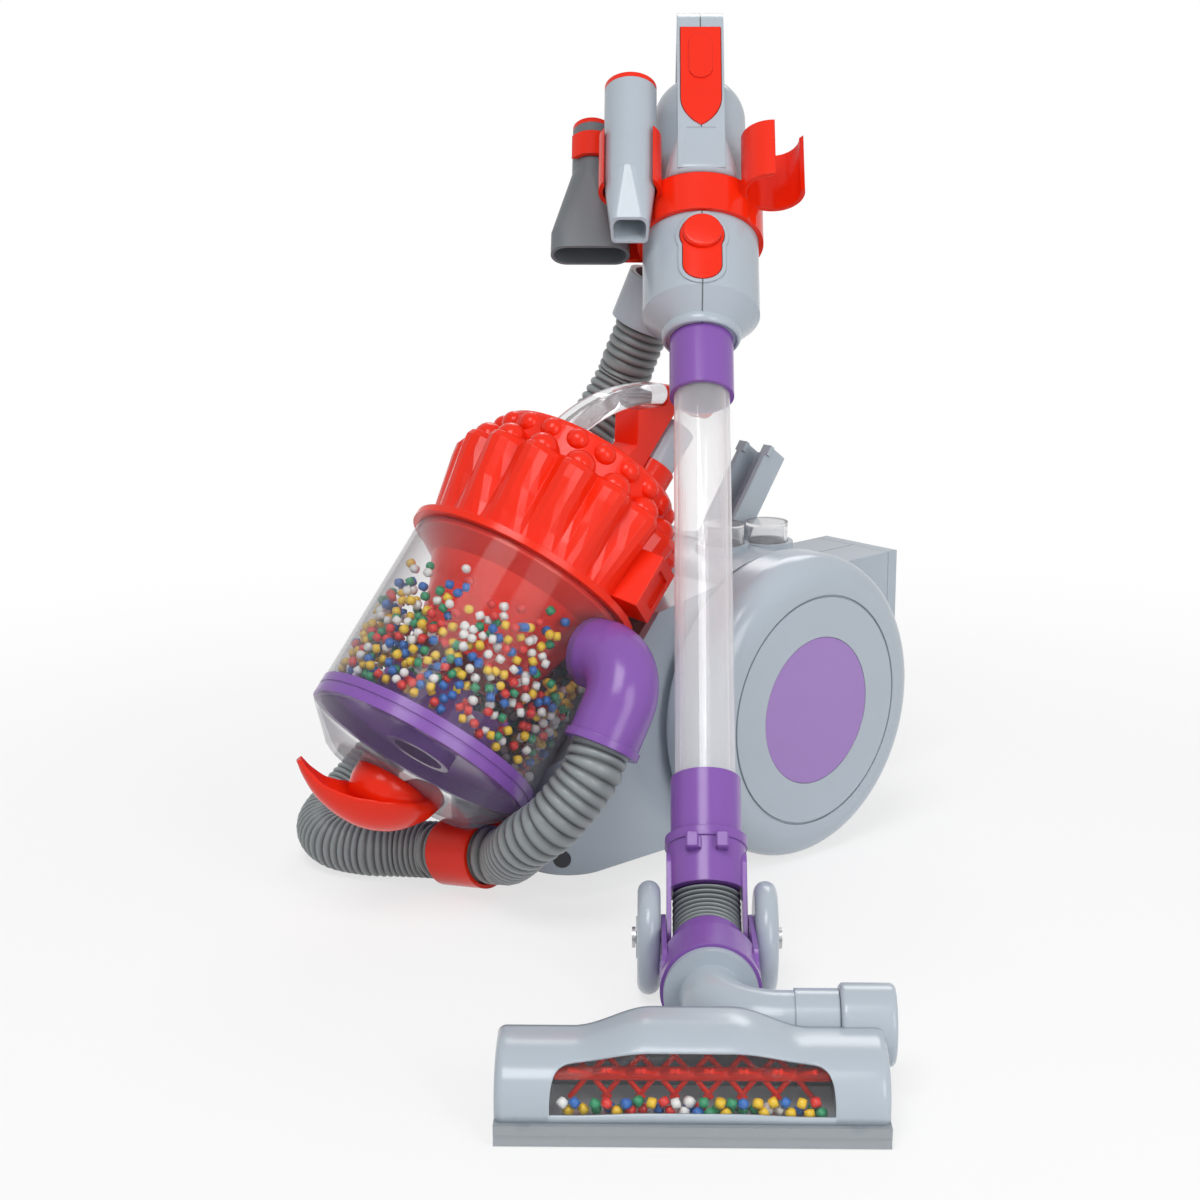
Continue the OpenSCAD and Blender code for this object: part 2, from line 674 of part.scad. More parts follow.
// A direction that the hose never runs along, to square its rings by
hose_up = [0.4, -0.5, 0.77];
hose_sides = 8;
function hose_ring(l, r) = let (t = route_dir(l), u = unit(cross(t, hose_up)), v = cross(t, u), p = route_at(l))
    [for (k = [0 : hose_sides - 1]) p + r * (cos(360 * k / hose_sides) * u + sin(360 * k / hose_sides) * v)];
hose_rings = 2 * hose_ribs + 1;
bore_rings = 67;
hose_points = concat(
    [for (i = [0 : hose_rings - 1]) each hose_ring(hose_len * i / (hose_rings - 1),
        hose_r - (i % 2 == 0 ? rib_depth : 0))],
    [for (i = [0 : bore_rings - 1]) each hose_ring(hose_len * i / (bore_rings - 1), hose_bore)]);
bore_first = hose_rings * hose_sides;
function skin(first, rings, out) = [for (i = [0 : rings - 2]) for (k = [0 : hose_sides - 1])
    let (a = first + i * hose_sides + k, b = first + i * hose_sides + (k + 1) % hose_sides)
        each out ? [[a, a + hose_sides, b], [b, a + hose_sides, b + hose_sides]]
            : [[a, b, a + hose_sides], [b, b + hose_sides, a + hose_sides]]];
function rim(outer, inner, start) = [for (k = [0 : hose_sides - 1])
    let (a = outer + k, b = outer + (k + 1) % hose_sides, c = inner + k, d = inner + (k + 1) % hose_sides)
        each start ? [[a, b, c], [b, d, c]] : [[a, c, b], [b, c, d]]];
hose_faces = concat(skin(0, hose_rings, true), skin(bore_first, bore_rings, false), rim(0, bore_first, true),
    rim(bore_first - hose_sides, len(hose_points) - hose_sides, false));

module hose() color(dark) floor_frame() polyhedron(hose_points, hose_faces, convexity = 12);

// Wand

module cuff_frame() floor_frame() translate(wand_point(cuff_at)) facing(cuff_turn) children();
function wand_point(p) = let (c = cos(head_yaw), s = sin(head_yaw),
    y = neck_y + p[2] * sin(wand_lean) + p[1] * cos(wand_lean), x = neck_x + p[0])
    [head_x + c * x - s * y, head_y + s * x + c * y, neck_z + p[2] * cos(wand_lean) - p[1] * sin(wand_lean)];

module hose_cuff() color(grey) difference() {
    cuff_frame() pipe(hose_r + 3.5, hose_r + seat, 14, cuff_len);
    wand_frame() cylinder(r = barrel_r - 2, h = 600);
}

module handle_profile() {
    polygon([[0, nose_s], [tube_r + 5, nose_s], [tube_r + 5, nose_s + 3], [barrel_r, nose_s + barrel_r - tube_r - 2],
        [barrel_r, barrel_end], [dome_r, barrel_end + 6], [dome_r, dome_s], [0, dome_s]]);
    intersection() {
        translate([0, dome_s]) circle(dome_r);
        translate([0, dome_s]) square(dome_r);
    }
}

module handle_hollow() {
    polygon([[0, nose_s + 18], [barrel_r - 10, nose_s + 18], [barrel_r - 3, nose_s + 26], [barrel_r - 3, barrel_end - 3],
        [dome_r - 3, barrel_end + 3], [dome_r - 3, dome_s], [0, dome_s + dome_r - 8]]);
}

// Outline of the grip's loop in the (Y, Z) plane of the wand
module loop_outline(inset) {
    corner = 24 - inset;
    low = barrel_end + 2 + inset;
    front = grip_front + inset;
    back = grip_back - inset;
    top = grip_top - inset;
    translate([front, low]) square([back - front, top - corner - low]);
    translate([front + corner, low]) square([back - front - 2 * corner, top - low]);
    for (y = [front + corner, back - corner]) translate([y, top - corner]) circle(corner);
}

module trigger_outline(grow) {
    half = trigger_half + grow;
    translate([-half, trigger_bottom]) square([2 * half, trigger_top - trigger_bottom + grow]);
    intersection() {
        translate([half - 22, trigger_bottom]) circle(22);
        translate([22 - half, trigger_bottom]) circle(22);
        translate([-half, trigger_bottom - 2 * half]) square([2 * half, 2 * half + past]);
    }
}

module button_outline(grow) {
    translate([0, button_low]) circle(button_half + grow);
    translate([-button_half - grow, button_low]) square([2 * (button_half + grow), button_high - button_low]);
    translate([0, button_high]) circle(button_half + 1.5 + grow);
}

// Extrudes an (X, Z) outline of the wand along Y
module along_y(y0, y1) translate([0, y1, 0]) rotate([90, 0, 0]) linear_extrude(y1 - y0) children();

module handle_halves() difference() {
    union() {
        rotate_extrude($fn = 72) handle_profile();
        difference() {
            along_x(grip_w / 2) difference() {
                loop_outline(0);
                loop_outline(grip_t);
            }
            translate([0, 0, dome_s - 80]) cylinder(r = dome_r - 2, h = 80);
        }
        intersection() {
            along_y(-barrel_r - 3, 0) button_outline(2.4);
            cylinder(r = barrel_r + 1, h = 600, $fn = 72);
        }
    }
    rotate_extrude($fn = 72) handle_hollow();
    translate([0, 0, nose_s - past]) cylinder(r = tube_r + run, h = 40);
    along_y(grip_front - past, grip_front + 6 + trigger_travel) trigger_outline(slip);
    along_y(-barrel_r - 3, -barrel_r + 14) button_outline(slip);
}

module hose_passage() {
    cuff_frame() translate([0, 0, 14 - seat]) cylinder(r = hose_r + 3.5 + seat, h = 80);
    cuff_frame() cylinder(r = hose_bore, h = 80);
}

module handle_half(side) color(grey) difference() {
    wand_frame() intersection() {
        handle_halves();
        translate([side > 0 ? 0 : -100, -100, 300]) cube([100, 300, 300]);
    }
    hose_passage();
}
module handle_left() handle_half(-1);
module handle_right() handle_half(1);

module trigger() color(red) wand_frame() {
    along_y(grip_front - 0.6, grip_front + 5) trigger_outline(-0.05);
    along_y(grip_front - 1.8, grip_front) {
        translate([-6.5, trigger_top - 30]) square([13, 18]);
        for (z = [trigger_top - 30, trigger_top - 12]) translate([0, z]) circle(6.5);
    }
}

module release_button() color(red) wand_frame() intersection() {
    along_y(-barrel_r - 3, 12 - barrel_r) button_outline(-0.05);
    difference() {
        cylinder(r = barrel_r + 1.4, h = 600, $fn = 72);
        cylinder(r = barrel_r - 7, h = 600, $fn = 72);
    }
}

module tool_clip(at, bore, z0, z1, open, gape = 0.72) difference() {
    translate([at[0], at[1], 0]) pipe(bore + 2.5, bore, z0, z1);
    translate([at[0], at[1], z0 - past]) rotate(open) translate([0, -bore * gape, 0])
        cube([bore + 10, bore * gape * 2, z1 - z0 + 2 * past]);
}

module tool_band() color(red) wand_frame() difference() {
    union() {
        pipe(barrel_r + 2.8, barrel_r + 0.1, band_s, barrel_end, $fn = 72);
        tool_clip(crevice_at, tool_r + slip, band_s + 14, clip_top, 265, 0.9);
        tool_clip([-crevice_at[0], crevice_at[1]], tool_r + slip, band_s + 14, clip_top, -50);
        tool_clip(brush_at, brush_r + slip, clip_top + 8, clip_top + 24, 180);
        translate([brush_at[0] + 6, brush_at[1] + brush_r + slip + 1, band_s + 4]) {
            cube([9, 3.2, clip_top + 20 - band_s]);
            cube([-brush_at[0] - 28, 3.2, band_h - 8]);
        }
    }
    translate([0, 0, 300]) cylinder(r = barrel_r + 0.1, h = barrel_end + 1 - 300, $fn = 72);
    cylinder(r = dome_r + 0.5, h = 600, $fn = 72);
    translate([0, 0, barrel_end]) cylinder(r1 = barrel_r + 0.6, r2 = dome_r + 0.6, h = 6.6);
    for (x = [crevice_at[0], -crevice_at[0]]) translate([x, crevice_at[1], band_s])
        cylinder(r = tool_r + slip, h = 100);
}

module crevice_shape(grow, low) {
    translate([0, 0, crevice_s + 44]) cylinder(r = tool_r + grow, h = 60);
    hull() {
        translate([0, 0, crevice_s + 44]) cylinder(r = tool_r + grow, h = 1, $fn = 32);
        translate([-9 - grow, -5 - grow, low]) cube([18 + 2 * grow, 10 + 2 * grow, 1]);
    }
}

module crevice_tool() color(grey) wand_frame() translate([crevice_at[0], crevice_at[1], 0]) difference() {
    crevice_shape(0, crevice_s);
    crevice_shape(-1.8, crevice_s - 2);
    translate([0, 0, crevice_s + 94]) cylinder(r = tool_r - 1.8, h = 20);
    translate([0, 14, crevice_s - 3]) rotate([-25, 0, 0]) cube([60, 60, 12], center = true);
}

module crevice_ring() color(red) wand_frame() translate([crevice_at[0], crevice_at[1], 0])
    pipe(tool_r, tool_r - 1.8, crevice_s + 104, crevice_s + 107);

module brush_shape(grow) {
    translate([0, 0, 448]) cylinder(r = brush_r + grow, h = 34);
    hull() {
        translate([0, 0, 448]) cylinder(r = brush_r + grow, h = 4, $fn = 32);
        for (x = [-13, 13]) translate([x, 0, 398 + grow]) cylinder(r = 9 + grow, h = 14, $fn = 32);
    }
}

module brush_tool() color(dark) wand_frame() translate([brush_at[0], brush_at[1], 0]) difference() {
    brush_shape(0);
    brush_shape(-1.8);
    for (x = [-13, 0, 13]) translate([x, 0, 390]) cylinder(r = 7.2, h = 12);
    translate([0, 0, 470]) cylinder(r = brush_r - 1.8, h = 20);
}

module brush_ring() color(red) wand_frame() translate([brush_at[0], brush_at[1], 0])
    pipe(brush_r, brush_r - 1.8, 482, 485);

module upper_collar() color(purple) wand_frame() pipe(collar_r, tube_r + run, nose_s - 36, nose_s - seat);
module wand_tube() color(clear) wand_frame() pipe(tube_r, tube_r - tube_wall, 30, nose_s + 24);
module lower_collar() color(purple) wand_frame() pipe(collar_r, tube_r + run, 50 + seat, 81);

// Neck

module arm(r, x) translate([x - arm_t / 2, 0, 0]) bar_x(0, arm_t, r);

module upper_yoke() color(purple) wand_frame() difference() {
    union() {
        translate([0, 0, bellows_reach + seat]) cylinder(r = arm_in + arm_t, h = 50 - bellows_reach - seat);
        for (side = [-1, 1]) hull() {
            arm(10, side * (arm_in + arm_t / 2));
            translate([0, 0, 34]) arm(9, side * (arm_in + arm_t / 2));
        }
        for (x = [-7.5, 4]) translate([x, -arm_in - arm_t - 1.5, 38]) cube([4.5, 4, 6]);
        translate([0, 0, 45]) cylinder(r = arm_in + arm_t + 0.8, h = 5);
    }
    translate([0, 0, bellows_reach - past]) cylinder(r = tube_r - tube_wall, h = 60);
    translate([0, 0, 30]) cylinder(r = tube_r + run, h = 60);
    translate([0, 0, -20]) cylinder(r = bellows_r + slip, h = 20 + bellows_reach);
    bar_x(-40, 40, pin_r + run);
}

module lower_yoke() color(purple) neck_frame() difference() {
    union() {
        translate([0, 0, elbow_z]) bar_y(-72, -46, 23);
        translate([0, 0, elbow_z / 2]) bar_y(-47, -bellows_reach - seat, 18.5);
        for (side = [-1, 1]) hull() {
            arm(11, side * (yoke_in + arm_t / 2));
            translate([0, -54, elbow_z]) arm(13, side * (yoke_in + arm_t / 2));
        }
    }
    translate([0, 0, elbow_z]) bar_y(-80, -58, 16 + run);
    translate([0, 0, elbow_z / 2]) bar_y(-70, 0, 13);
    bar_x(-40, 40, pin_r);
}

module neck_pins() color(steel) neck_frame() for (side = [-1, 1]) mirror([side > 0 ? 0 : 1, 0, 0]) {
    bar_x(arm_in + 0.2, neck_wheel_in + neck_wheel_w + slip, pin_r);
    bar_x(neck_wheel_in + neck_wheel_w + slip, neck_wheel_in + neck_wheel_w + 2, 5);
}

module neck_wheel(side) color(grey) neck_frame() mirror([side > 0 ? 0 : 1, 0, 0])
    translate([neck_wheel_in, 0, 0]) rotate([0, 90, 0]) rotate_extrude($fn = 72) difference() {
        union() {
            square([neck_wheel_r - 5.5, neck_wheel_w - 1]);
            translate([neck_wheel_r - 5.5, 5.5]) circle(5.5);
            square([10, neck_wheel_w]);
        }
        translate([-past, -past]) square([pin_r + run + past, neck_wheel_w + 2 * past]);
        translate([13, neck_wheel_w - 3.5]) square([5, 5]);
    }
module neck_wheel_left() neck_wheel(-1);
module neck_wheel_right() neck_wheel(1);

// The sleeve bends from the neck's level line to the wand's lean
module bellows() color(dark) {
    bend = 90 - wand_lean;
    radius = bellows_reach / tan(bend / 2);
    neck_frame() translate([0, -bellows_reach, radius]) rotate([90, 0, 90]) rotate(-90) difference() {
        union() {
            rotate_extrude(angle = bend) translate([radius, 0]) circle(bellows_r - 2.2);
            for (k = [0.5 : bellows_ribs - 0.5]) rotate(bend * k / bellows_ribs) translate([radius, 0, 0])
                rotate([90, 0, 0]) cylinder(r = bellows_r, h = 1.6, center = true);
        }
        rotate(-1) rotate_extrude(angle = bend + 2) translate([radius, 0]) circle(bellows_r - 4);
    }
}

// Floor head

module elbow_pipe() color(grey) neck_frame() translate([0, 0, elbow_z]) difference() {
    union() {
        bar_y(-77, -60, 16);
        bar_y(-77, -72 - slip, 21.5);
        translate([pipe_bend, -77, 0]) rotate(180) rotate_extrude(angle = 90) translate([pipe_bend, 0]) circle(pipe_r);
        translate([0, -77 - pipe_bend, 0]) {
            bar_x(pipe_bend, 36, pipe_r);
            bar_x(35, 54, pipe_r + 1);
            bar_x(54, 72, spigot_r);
        }
    }
    bar_y(-77, -50, 11);
    translate([pipe_bend, -77, 0]) rotate(180) rotate_extrude(angle = 90) translate([pipe_bend, 0]) circle(11);
    translate([0, -77 - pipe_bend, 0]) bar_x(pipe_bend, 80, 11);
}

// Front view outline of the head: level ends and a raised middle
module head_outline(inset) {
    half = head_w / 2;
    top = sole_t + front_r;
    polygon([[-half, sole_t], [-half, top - 6 - inset], [-48, top - 6 - inset], [-25, top - inset],
        [25, top - inset], [48, top - 6 - inset], [half, top - 6 - inset], [half, sole_t]]);
}

module head_section(r) {
    intersection() {
        translate([head_back, sole_t]) circle(r, $fn = 96);
        translate([0, sole_t]) square([head_back, 60]);
    }
    translate([head_back - past, sole_t]) square([head_rear - head_back + past - front_r + r, r]);
}

module window_outline(inset) {
    half = chamber_half - inset;
    top = sole_t + front_r;
    polygon([[-half, sole_t + inset], [-half, top - 22], [6 - half, top - 18 - inset], [-26, top - 13 - inset],
        [26, top - 13 - inset], [half - 6, top - 18 - inset], [half, top - 22], [half, sole_t + inset]]);
}

module head_shell() color(grey) head_frame() difference() {
    union() {
        intersection() {
            along_x(head_w / 2) head_section(front_r);
            along_y(-past, 90) head_outline(0);
        }
        translate([socket_x, head_rear - 4, sole_t + 3]) cube([head_w / 2 - socket_x, pipe_y - head_rear + 4, 34]);
        translate([0, pipe_y, elbow_z + neck_z]) bar_x(socket_x, socket_x + socket_len, socket_r);
    }
    intersection() {
        along_x(chamber_half) head_section(front_r - wall);
        along_y(-past, 90) head_outline(wall);
    }
    along_y(-past, head_back - 15) window_outline(0);
    translate([0, pipe_y, elbow_z + neck_z]) bar_x(socket_x - past, socket_x + socket_len - 4, spigot_r + run);
    translate([0, bar_at[0], bar_at[1]]) bar_x(-chamber_half - 6, chamber_half + 6, bar_r - 0.5 + run);
    for (x = [-70, 70], y = [14, 32]) translate([x, y, sole_t - past]) cylinder(r = screw_r + run, h = 9);
}

module head_window() color(clear) head_frame() intersection() {
    along_x(chamber_half) difference() {
        head_section(front_r - seat);
        head_section(front_r - 2);
    }
    along_y(-past, head_back - 15) window_outline(seat);
}

module brush_bar() color(red) head_frame() translate([0, bar_at[0], bar_at[1]]) {
    bar_x(slip - chamber_half, chamber_half - slip, bar_r);
    bar_x(-chamber_half - 5, chamber_half + 5, bar_r - 0.5);
    pitch = 2 * (chamber_half - 8) / fin_pairs;
    for (k = [0 : fin_pairs - 1], turn = [0, 120, 240], side = [-1, 1])
        translate([pitch * (k + 0.5 - fin_pairs / 2), 0, 0]) rotate([turn + 60, 0, 0])
            rotate([0, side * 38, 0]) cylinder(r = 1.2, h = (fin_r - 1) / cos(38), $fn = 16);
}

module sole() color([0.7, 0.76, 0.82, 0.7]) head_frame() difference() {
    translate([-head_w / 2, 0, 0]) cube([head_w, head_rear, sole_t]);
    translate([-head_w / 2 - past, 2.5, 3]) rotate([0, 90, 0]) translate([0, -6, 0]) cylinder(r = 4, h = head_w + 2);
    for (x = [-70, 70], y = [14, 32]) translate([x, y, -past]) {
        cylinder(r = screw_r + seat, h = 20);
        cylinder(r = 3.2, h = 4);
    }
}

module head_beads() color("Gold") head_frame() for (k = [0 : 21])
    translate([(k - 10.5) * 4.9, 10 + 1.5 * sin(k * 97), sole_t + bead_r]) sphere(bead_r, $fn = 24);

module sole_screws() color(steel) head_frame() for (x = [-70, 70], y = [14, 32]) translate([x, y, 1]) {
    cylinder(r = screw_r, h = sole_t + 5);
    cylinder(r = 3, h = 2);
}

shell_left();
shell_right();
shell_screws();
axle();
wheel_left();
wheel_right();
hub_disc_left();
hub_disc_right();
nose_roller();
motor();
impeller();
batteries();
battery_door();
drawer();
power_button();
light_button();
hose_clip();
wand_cradle();
bin_cylinder();
bin_ring();
bin_base();
spinner();
bin_beads();
cyclone_cone();
cyclone_crown();
bin_latch();
bin_handle();
handle_back();
outlet_cuff();
scoop();
inlet_elbow();
hose();
hose_cuff();
handle_left();
handle_right();
trigger();
release_button();
tool_band();
crevice_tool();
crevice_ring();
brush_tool();
brush_ring();
upper_collar();
wand_tube();
lower_collar();
upper_yoke();
lower_yoke();
neck_pins();
neck_wheel_left();
neck_wheel_right();
bellows();
elbow_pipe();
head_shell();
head_window();
brush_bar();
sole();
head_beads();
sole_screws();
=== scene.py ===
import json
import math
import random
import bpy
import bmesh
from mathutils import Matrix, Vector


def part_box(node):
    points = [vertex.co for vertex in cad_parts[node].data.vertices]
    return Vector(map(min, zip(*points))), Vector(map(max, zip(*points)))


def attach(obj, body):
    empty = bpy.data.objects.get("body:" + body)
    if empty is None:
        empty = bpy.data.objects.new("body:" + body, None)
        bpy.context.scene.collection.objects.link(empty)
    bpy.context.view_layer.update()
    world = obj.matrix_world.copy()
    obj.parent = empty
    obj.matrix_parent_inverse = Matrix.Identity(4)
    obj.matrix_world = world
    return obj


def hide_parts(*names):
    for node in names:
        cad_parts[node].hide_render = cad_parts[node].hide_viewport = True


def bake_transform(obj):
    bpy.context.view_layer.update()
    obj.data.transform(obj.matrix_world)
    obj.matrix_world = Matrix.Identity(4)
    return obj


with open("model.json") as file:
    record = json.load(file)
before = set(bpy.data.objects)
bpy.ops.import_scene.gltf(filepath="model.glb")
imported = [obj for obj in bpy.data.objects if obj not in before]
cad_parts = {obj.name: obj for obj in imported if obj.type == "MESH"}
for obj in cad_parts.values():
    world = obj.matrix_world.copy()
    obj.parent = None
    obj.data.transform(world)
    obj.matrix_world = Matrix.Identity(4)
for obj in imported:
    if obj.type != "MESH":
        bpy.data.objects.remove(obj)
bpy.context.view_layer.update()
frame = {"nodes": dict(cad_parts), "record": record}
nodes = frame["nodes"]
print("frame loaded:", len(nodes), "nodes")

# Where the main groups stand, in the millimetres and degrees of the solids
layout = {"middle": (117.1, -108.5), "bin": (-198.5, 91.3), "binLean": 41.6,
          "head": (293, -300), "headTurn": 45.7, "hinge": (10, 165, 27), "wandLean": 40.5}
upward = Vector((0, 0, 1))
hingeX, hingeY, hingeZ = layout["hinge"]


def fromAxle(x, y, z):  # millimetres from the floor under the axle, into the frame's metres
    middleX, middleY = layout["middle"]
    return Vector(((x - middleX) / 1000, (y - middleY) / 1000, z / 1000))


def turned(vector, axis, degrees):
    return Matrix.Rotation(math.radians(degrees), 3, axis) @ Vector(vector)


def fromBin(x, w, s):  # bin's own axes: w behind the axis, s along it
    p = turned((x, w, s), "X", -layout["binLean"])
    return fromAxle(p.x, p.y + layout["bin"][0], p.z + layout["bin"][1])


def fromHead(x, y, z):  # floor head's own axes, from the middle of its front edge
    p = turned((x, y, z), "Z", layout["headTurn"])
    return fromAxle(p.x + layout["head"][0], p.y + layout["head"][1], p.z)


def fromWand(x, y, s):  # wand's own axes, from its hinge
    p = turned((x, y, s), "X", -layout["wandLean"])
    return fromHead(p.x + hingeX, p.y + hingeY, p.z + hingeZ)


def added(name, data):  # a new object in the scene
    made = bpy.data.objects.new(name, data)
    bpy.context.scene.collection.objects.link(made)
    return made


# Camera at the photograph's place
view = {"eye": (929.0, -951.7, 454.8), "azimuth": 46.7, "down": 13.7,
        "lens": 72.0, "sensor": 36.0, "reach": 30.0}
azimuth, down = math.radians(view["azimuth"]), math.radians(view["down"])
camera = added("camera", bpy.data.cameras.new("camera"))
camera.location = fromAxle(*view["eye"])
look = Vector((-math.sin(azimuth) * math.cos(down), math.cos(azimuth) * math.cos(down), -math.sin(down)))
camera.rotation_euler = look.to_track_quat("-Z", "Y").to_euler()
camera.data.lens, camera.data.sensor_width = view["lens"], view["sensor"]
camera.data.sensor_fit, camera.data.clip_end = "HORIZONTAL", view["reach"]
bpy.context.scene.camera = camera
print("camera set")


class Wire:
    # One output of a node; arithmetic on it adds Math nodes
    def __init__(self, graph, socket):
        self.graph, self.socket = graph, socket

    def join(self, operation, other, swapped=False):
        first, second = (other, self) if swapped else (self, other)
        return self.graph.node("ShaderNodeMath", {"operation": operation}, {0: first, 1: second})

    def __add__(self, other):
        return self.join("ADD", other)

    def __sub__(self, other):
        return self.join("SUBTRACT", other)

    def __rsub__(self, other):
        return self.join("SUBTRACT", other, True)

    def __mul__(self, other):
        return self.join("MULTIPLY", other)

    def __pow__(self, other):
        return self.join("POWER", other)

    def above(self, other):
        return self.join("GREATER_THAN", other)


class Graph:
    # A node tree of any kind, built from nothing
    def __init__(self, tree):
        self.tree = tree
        tree.nodes.clear()

    def node(self, kind, settings=None, sockets=None, out=0):
        made = self.tree.nodes.new(kind)
        for key, value in (settings or {}).items():
            if key == "stops":
                ramp = made.color_ramp
                while len(ramp.elements) < len(value):
                    ramp.elements.new(0.5)
                for element, (place, colour) in zip(ramp.elements, value):
                    element.position, element.color = place, (*colour, 1.0)
            elif key == "interpolation":
                made.color_ramp.interpolation = value
            else:
                setattr(made, key, value)
        for key, value in (sockets or {}).items():
            if isinstance(value, Wire):
                self.tree.links.new(value.socket, made.inputs[key])
            else:
                made.inputs[key].default_value = value
        return Wire(self, made.outputs[out]) if made.outputs else None


class Finish(Graph):
    # A material and its tree
    def __init__(self, name):
        self.material = bpy.data.materials.new(name)
        self.material.use_nodes = True
        super().__init__(self.material.node_tree)

    def place(self):
        return self.node("ShaderNodeTexCoord", None, None, "Object")

    def stretched(self, place, scale):
        return self.node("ShaderNodeMapping", None, {"Vector": place, "Scale": scale})

    def noise(self, place, scale, detail=3.0, rough=0.5):
        return self.node("ShaderNodeTexNoise", None,
                         {"Vector": place, "Scale": scale, "Detail": detail, "Roughness": rough}, "Fac")

    def mix(self, factor, first, second, blend="MIX"):  # sockets 6 and 7 are the two colours
        return self.node("ShaderNodeMix", {"data_type": "RGBA", "blend_type": blend},
                         {0: factor, 6: first, 7: second}, 2)

    def dot(self, first, second):
        return self.node("ShaderNodeVectorMath", {"operation": "DOT_PRODUCT"}, {0: first, 1: second}, "Value")

    def surface(self, shader):
        self.node("ShaderNodeOutputMaterial", None, {"Surface": shader})
        return self.material

    def principled(self, sockets):
        return self.surface(self.node("ShaderNodeBsdfPrincipled", None, sockets))


def tint(colour, factor):
    return (*[min(1.0, c * factor) for c in colour], 1.0)


# Marks on moulded plastic: flow, rubbed edges, scuffs, orange peel and the parting line
moulding = {"flowDark": 0.93, "flowLight": 1.05, "flowRough": 0.10, "rubReach": 5.0, "rubKeep": 0.6,
            "rubLift": 0.3, "scuffFrom": 0.56, "scuffGain": 1.2, "scuffRough": 0.35, "peelDepth": 0.0003,
            "seamHalf": 0.0004, "seamStrength": 0.8, "seamShade": 0.15}


def mouldedPlastic(name, colour, rough=0.26, edge=0.0007, peel=0.035, worn=0.35, gloss=0.4, seam=None):
    # Injection-moulded plastic: soft edges, flow marks, fine orange peel, rubbed edges and handling scuffs
    finish = Finish(name)
    place = finish.place()
    flow = finish.noise(finish.stretched(place, (1.0, 1.0, 3.0)), scale=7.0, detail=4.0)
    fine = finish.noise(place, scale=1400.0, detail=2.0)
    handling = finish.noise(place, scale=55.0, detail=8.0, rough=0.7)
    softEdge = finish.node("ShaderNodeBevel", {"samples": 4}, {"Radius": edge})
    facing = finish.dot(softEdge, finish.node("ShaderNodeNewGeometry", None, None, "Normal"))
    rubbed = ((1.0 - facing) * moulding["rubReach"]).join("MINIMUM", 1.0) * handling * worn
    scuffed = (handling - moulding["scuffFrom"]).join("MAXIMUM", 0.0) * moulding["scuffGain"]
    paler = [moulding["rubKeep"] * c + moulding["rubLift"] for c in colour]
    tone = finish.mix(flow, tint(colour, moulding["flowDark"]), tint(colour, moulding["flowLight"]))
    tone = finish.mix(rubbed, tone, tint(paler, 1.0))
    if seam:  # thin dark parting line, in the plane through seam's point and square to its direction
        offset = finish.node("ShaderNodeVectorMath", {"operation": "SUBTRACT"}, {0: place, 1: seam[0]})
        beside = finish.dot(offset, seam[1]).join("ABSOLUTE", 0.0).above(moulding["seamHalf"])
        dark = tint(colour, moulding["seamShade"])
        tone = finish.mix((1.0 - beside) * moulding["seamStrength"], tone, dark)
    bump = finish.node("ShaderNodeBump", None, {
        "Height": fine, "Strength": peel, "Distance": moulding["peelDepth"], "Normal": softEdge})
    roughness = (flow - 0.5) * moulding["flowRough"] + scuffed * moulding["scuffRough"] + rough
    return finish.principled({
        "Base Color": tone, "Roughness": roughness, "Normal": bump, "IOR": 1.5, "Specular IOR Level": gloss})


# Clear plastic: waves, hairline scuffs, and how a thin wall and a solid piece let light through
clarity = {"waveDark": 0.94, "waveLight": 1.03, "waveStrength": 0.05, "waveDepth": 0.002, "scuffFrom": 0.6,
           "scuffRough": 0.4, "scuffCloud": 0.3, "grazing": 2.5, "thinIor": 2.0, "solidIor": 1.4,
           "solidClear": 0.85}


def clearPlastic(name, colour, rough=0.05, thin=0.08, edge=0.5, solid=False):
    # Clear moulding with faint waves and hairlines: solid, or a thin wall that is milky where seen edge on
    finish = Finish(name)
    place = finish.place()
    waves = finish.noise(place, scale=26.0, detail=3.0)
    hairlines = finish.noise(finish.stretched(place, (220.0, 220.0, 12.0)), scale=3.0, detail=4.0, rough=0.65)
    bump = finish.node("ShaderNodeBump", None, {
        "Height": waves, "Strength": clarity["waveStrength"], "Distance": clarity["waveDepth"]})
    scuffs = (hairlines - clarity["scuffFrom"]).join("MAXIMUM", 0.0)
    tone = finish.mix(waves, tint(colour, clarity["waveDark"]), tint(colour, clarity["waveLight"]))
    grazing = finish.node("ShaderNodeLayerWeight", None, {"Blend": 0.5, "Normal": bump}, "Facing")
    wall = 1.0 if solid else (grazing ** clarity["grazing"]) * edge + scuffs * clarity["scuffCloud"] + thin
    return finish.principled({
        "Base Color": tone, "Roughness": scuffs * clarity["scuffRough"] + rough, "Normal": bump,
        "IOR": clarity["solidIor"] if solid else clarity["thinIor"],
        "Transmission Weight": clarity["solidClear"] if solid else 0.0, "Alpha": wall})


# valleyShade is painted shade in the rib valleys; crest is a painted highlight on the rib crests
rubber = {"valleyShade": 0.16, "crest": 1.1, "sharpness": 1.6, "dust": 0.35, "dustLift": 0.14, "rough": 0.55,
          "crestShine": 0.22, "dustRough": 0.2, "grain": 0.12, "grainDepth": 0.0003}


